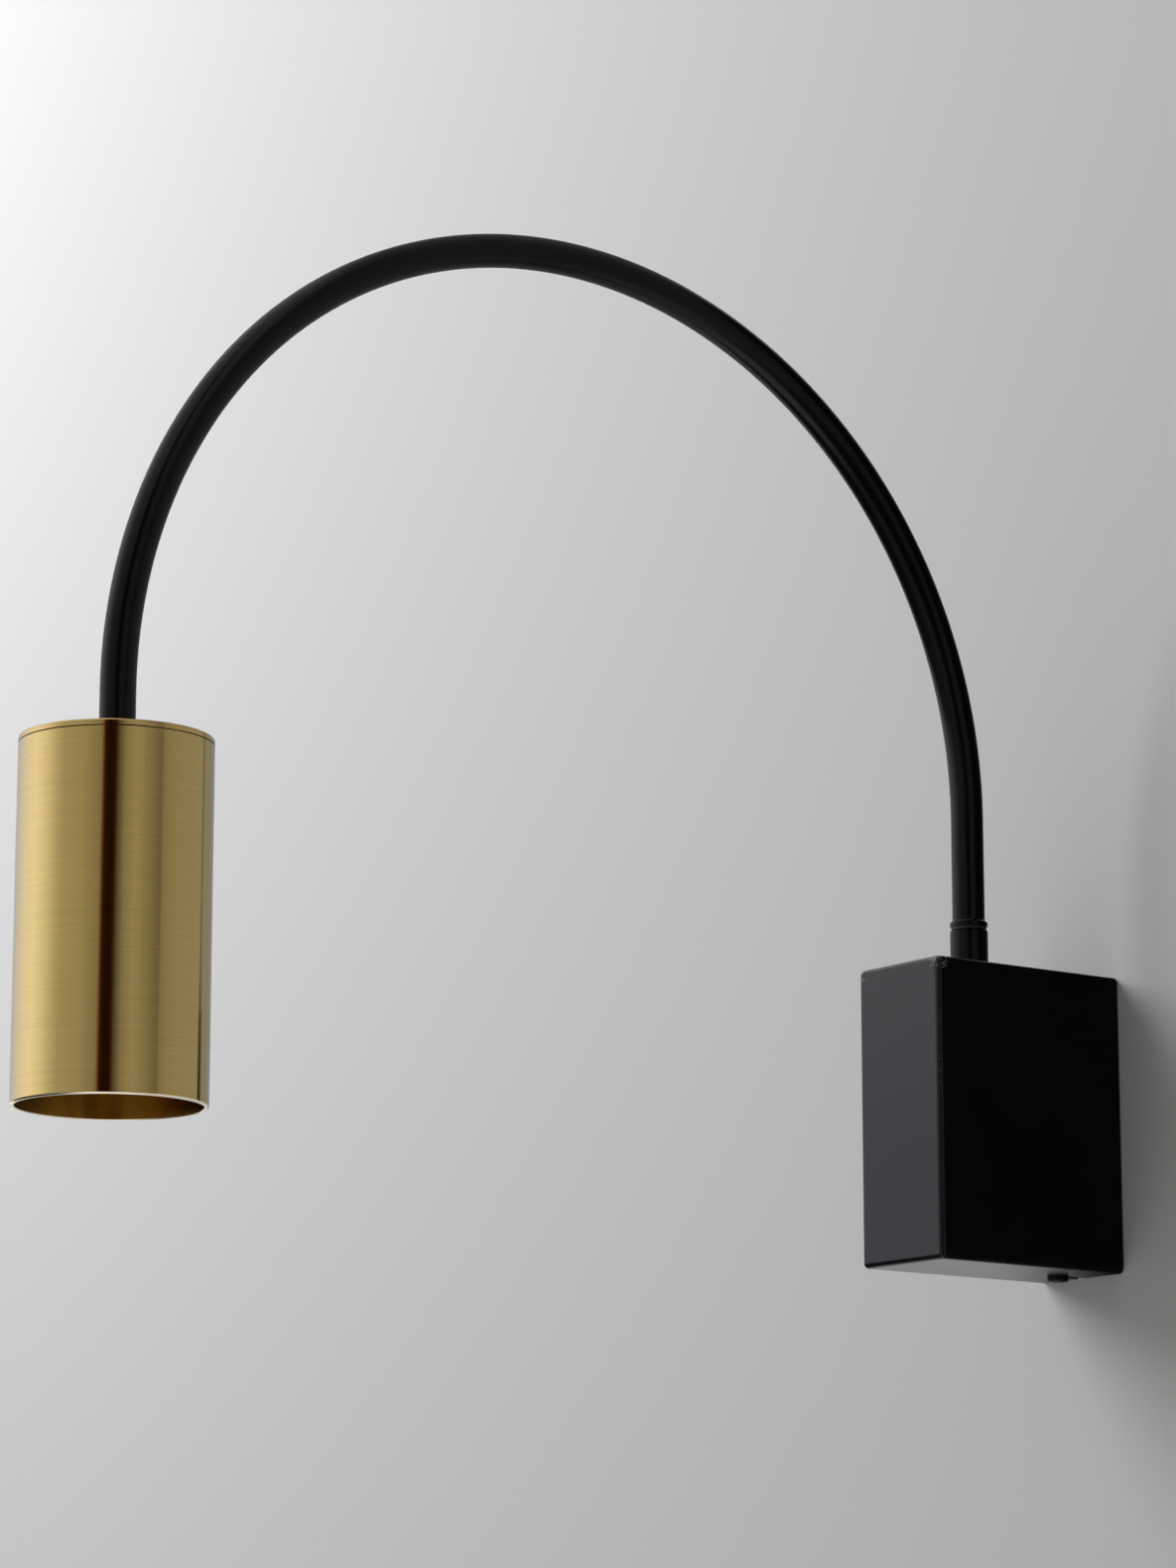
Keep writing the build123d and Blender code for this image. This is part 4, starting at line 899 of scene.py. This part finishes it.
# %% Set the room's light
PANEL_LEVEL = 0.011
PANEL_AZIMUTH = -37.7
PANEL_HALF_WIDTH = (11, 6.3)
PANEL_TOP = (0.98, 0.9)
PANEL_TINT = (1.0, 0.18, 0.03)
ROOM = [
    (-180, 0.62), (-157, 0.88), (-141, 1.0), (-134, 1.0), (-119, 0.82), (-101, 0.51), (-93, 0.42),
    (-70, 0.37), (-58, 0.29), (-46, 0.24), (-44, PANEL_LEVEL), (-31.5, PANEL_LEVEL), (-24, 0.15),
    (-19, 0.27), (-7, 0.355), (0, 0.33), (18, 0.21), (30, 0.24), (140, 0.45), (180, 0.62),
]
CEILING = 0.7
CEILING_EDGE = (0.45, 0.85)
COOL_EDGE = (90, 115)
WARM_SIDE = (1.0, 0.985, 0.96)
COOL_SIDE = (0.98, 1.0, 1.12)
FILL = 0.20
FILL_LEAN = 0.7
BOUNCE = 0.6
BOUNCE_EDGE = (-0.35, -0.8)
SKY = 0.74
WINDOW_PLACE = (-1.35, -1.05, 1.1)
WINDOW_TARGET = (0, -0.2, 0.1)
WINDOW_TINT = (0.968, 0.974, 1.0)
BACK_PLACE = (0.6, 1.8, 0.9)
BACK_TARGET = (0, -0.1, 0)

world = bpy.data.worlds.new("room")
bpy.context.scene.world = world
room = Nodes(world)
room_output = room.tree.nodes.new("ShaderNodeOutputWorld").inputs["Surface"]
way = room.node("TexCoord", output="Generated")
east, north, up = (room.part(way, axis) for axis in "XYZ")
azimuth = north.math("ARCTAN2", north, east) * math.degrees(1)
camera_ray = room.node("LightPath", output="Is Camera Ray")
mirrored = room.node("LightPath", output="Is Glossy Ray")
panel_here = (azimuth - PANEL_AZIMUTH).size().rising(*PANEL_HALF_WIDTH) * up.rising(*PANEL_TOP)
overhead = up.rising(*CEILING_EDGE) * (1 - panel_here)
reflected = room.fade(overhead, azimuth.stops(ROOM), CEILING)
lighting = (FILL + (BOUNCE - FILL) * up.rising(*BOUNCE_EDGE)) * (1 - FILL_LEAN * east)
level = room.fade(mirrored, room.fade(camera_ray, lighting, SKY), reflected)
side_tint = room.blend(azimuth.size().rising(*COOL_EDGE) * mirrored, WARM_SIDE, COOL_SIDE)
tint = room.blend(panel_here * mirrored, side_tint, PANEL_TINT)
room.plug(room.node("Background", None, {"Color": tint, "Strength": level}), room_output)


def aimed(place, target):
    """A matrix at a place that looks at a target along its -Z."""
    turn = (Vector(target) - Vector(place)).to_track_quat("-Z", "Y")
    return Matrix.Translation(place) @ turn.to_matrix().to_4x4()


def soft_light(name, place, target, side, radiance):
    """A square lamp that shines with the given radiance from its whole face."""
    lamp = bpy.data.lights.new(name, "AREA")
    lamp.shape = "RECTANGLE"
    lamp.size = side
    lamp.size_y = side
    lamp.energy = radiance * math.pi * side * side
    light = bpy.data.objects.new(name, lamp)
    bpy.context.scene.collection.objects.link(light)
    light.matrix_world = aimed(place, target)
    light.visible_camera = False
    light.visible_glossy = False
    return lamp


window = soft_light("window", WINDOW_PLACE, WINDOW_TARGET, side=1.4, radiance=4.7)
window.color = WINDOW_TINT
soft_light("back_fill", BACK_PLACE, BACK_TARGET, side=1.2, radiance=1.6)
print("fill", FILL, "sky", SKY, "room levels", len(ROOM))

# %% [markdown]
# ## Camera
#
# The photograph was taken from the right and from a little below, with a long lens, so upright
# edges stay nearly parallel. The place, the turn and the lens come from fitting the box's corners,
# the tube and the cylinder to the picture.

# %% Set the camera
CAMERA_AZIMUTH = 53.81
CAMERA_PITCH = 11.859
CAMERA_PLACE = (1.31352, -1.18797, -0.23754)
LENS_LENGTH = 109.107
SENSOR_WIDTH = 36
FARTHEST = 60
camera_data = bpy.data.cameras.new("camera")
camera_data.lens = LENS_LENGTH
camera_data.sensor_width = SENSOR_WIDTH
camera_data.clip_end = FARTHEST
camera = bpy.data.objects.new("camera", camera_data)
bpy.context.scene.collection.objects.link(camera)
camera.location = CAMERA_PLACE
camera.rotation_euler = (math.radians(90 + CAMERA_PITCH), 0, math.radians(CAMERA_AZIMUTH))
bpy.context.scene.camera = camera
bpy.context.scene.view_settings.view_transform = "Standard"
print("camera at", [round(v, 3) for v in camera.location])
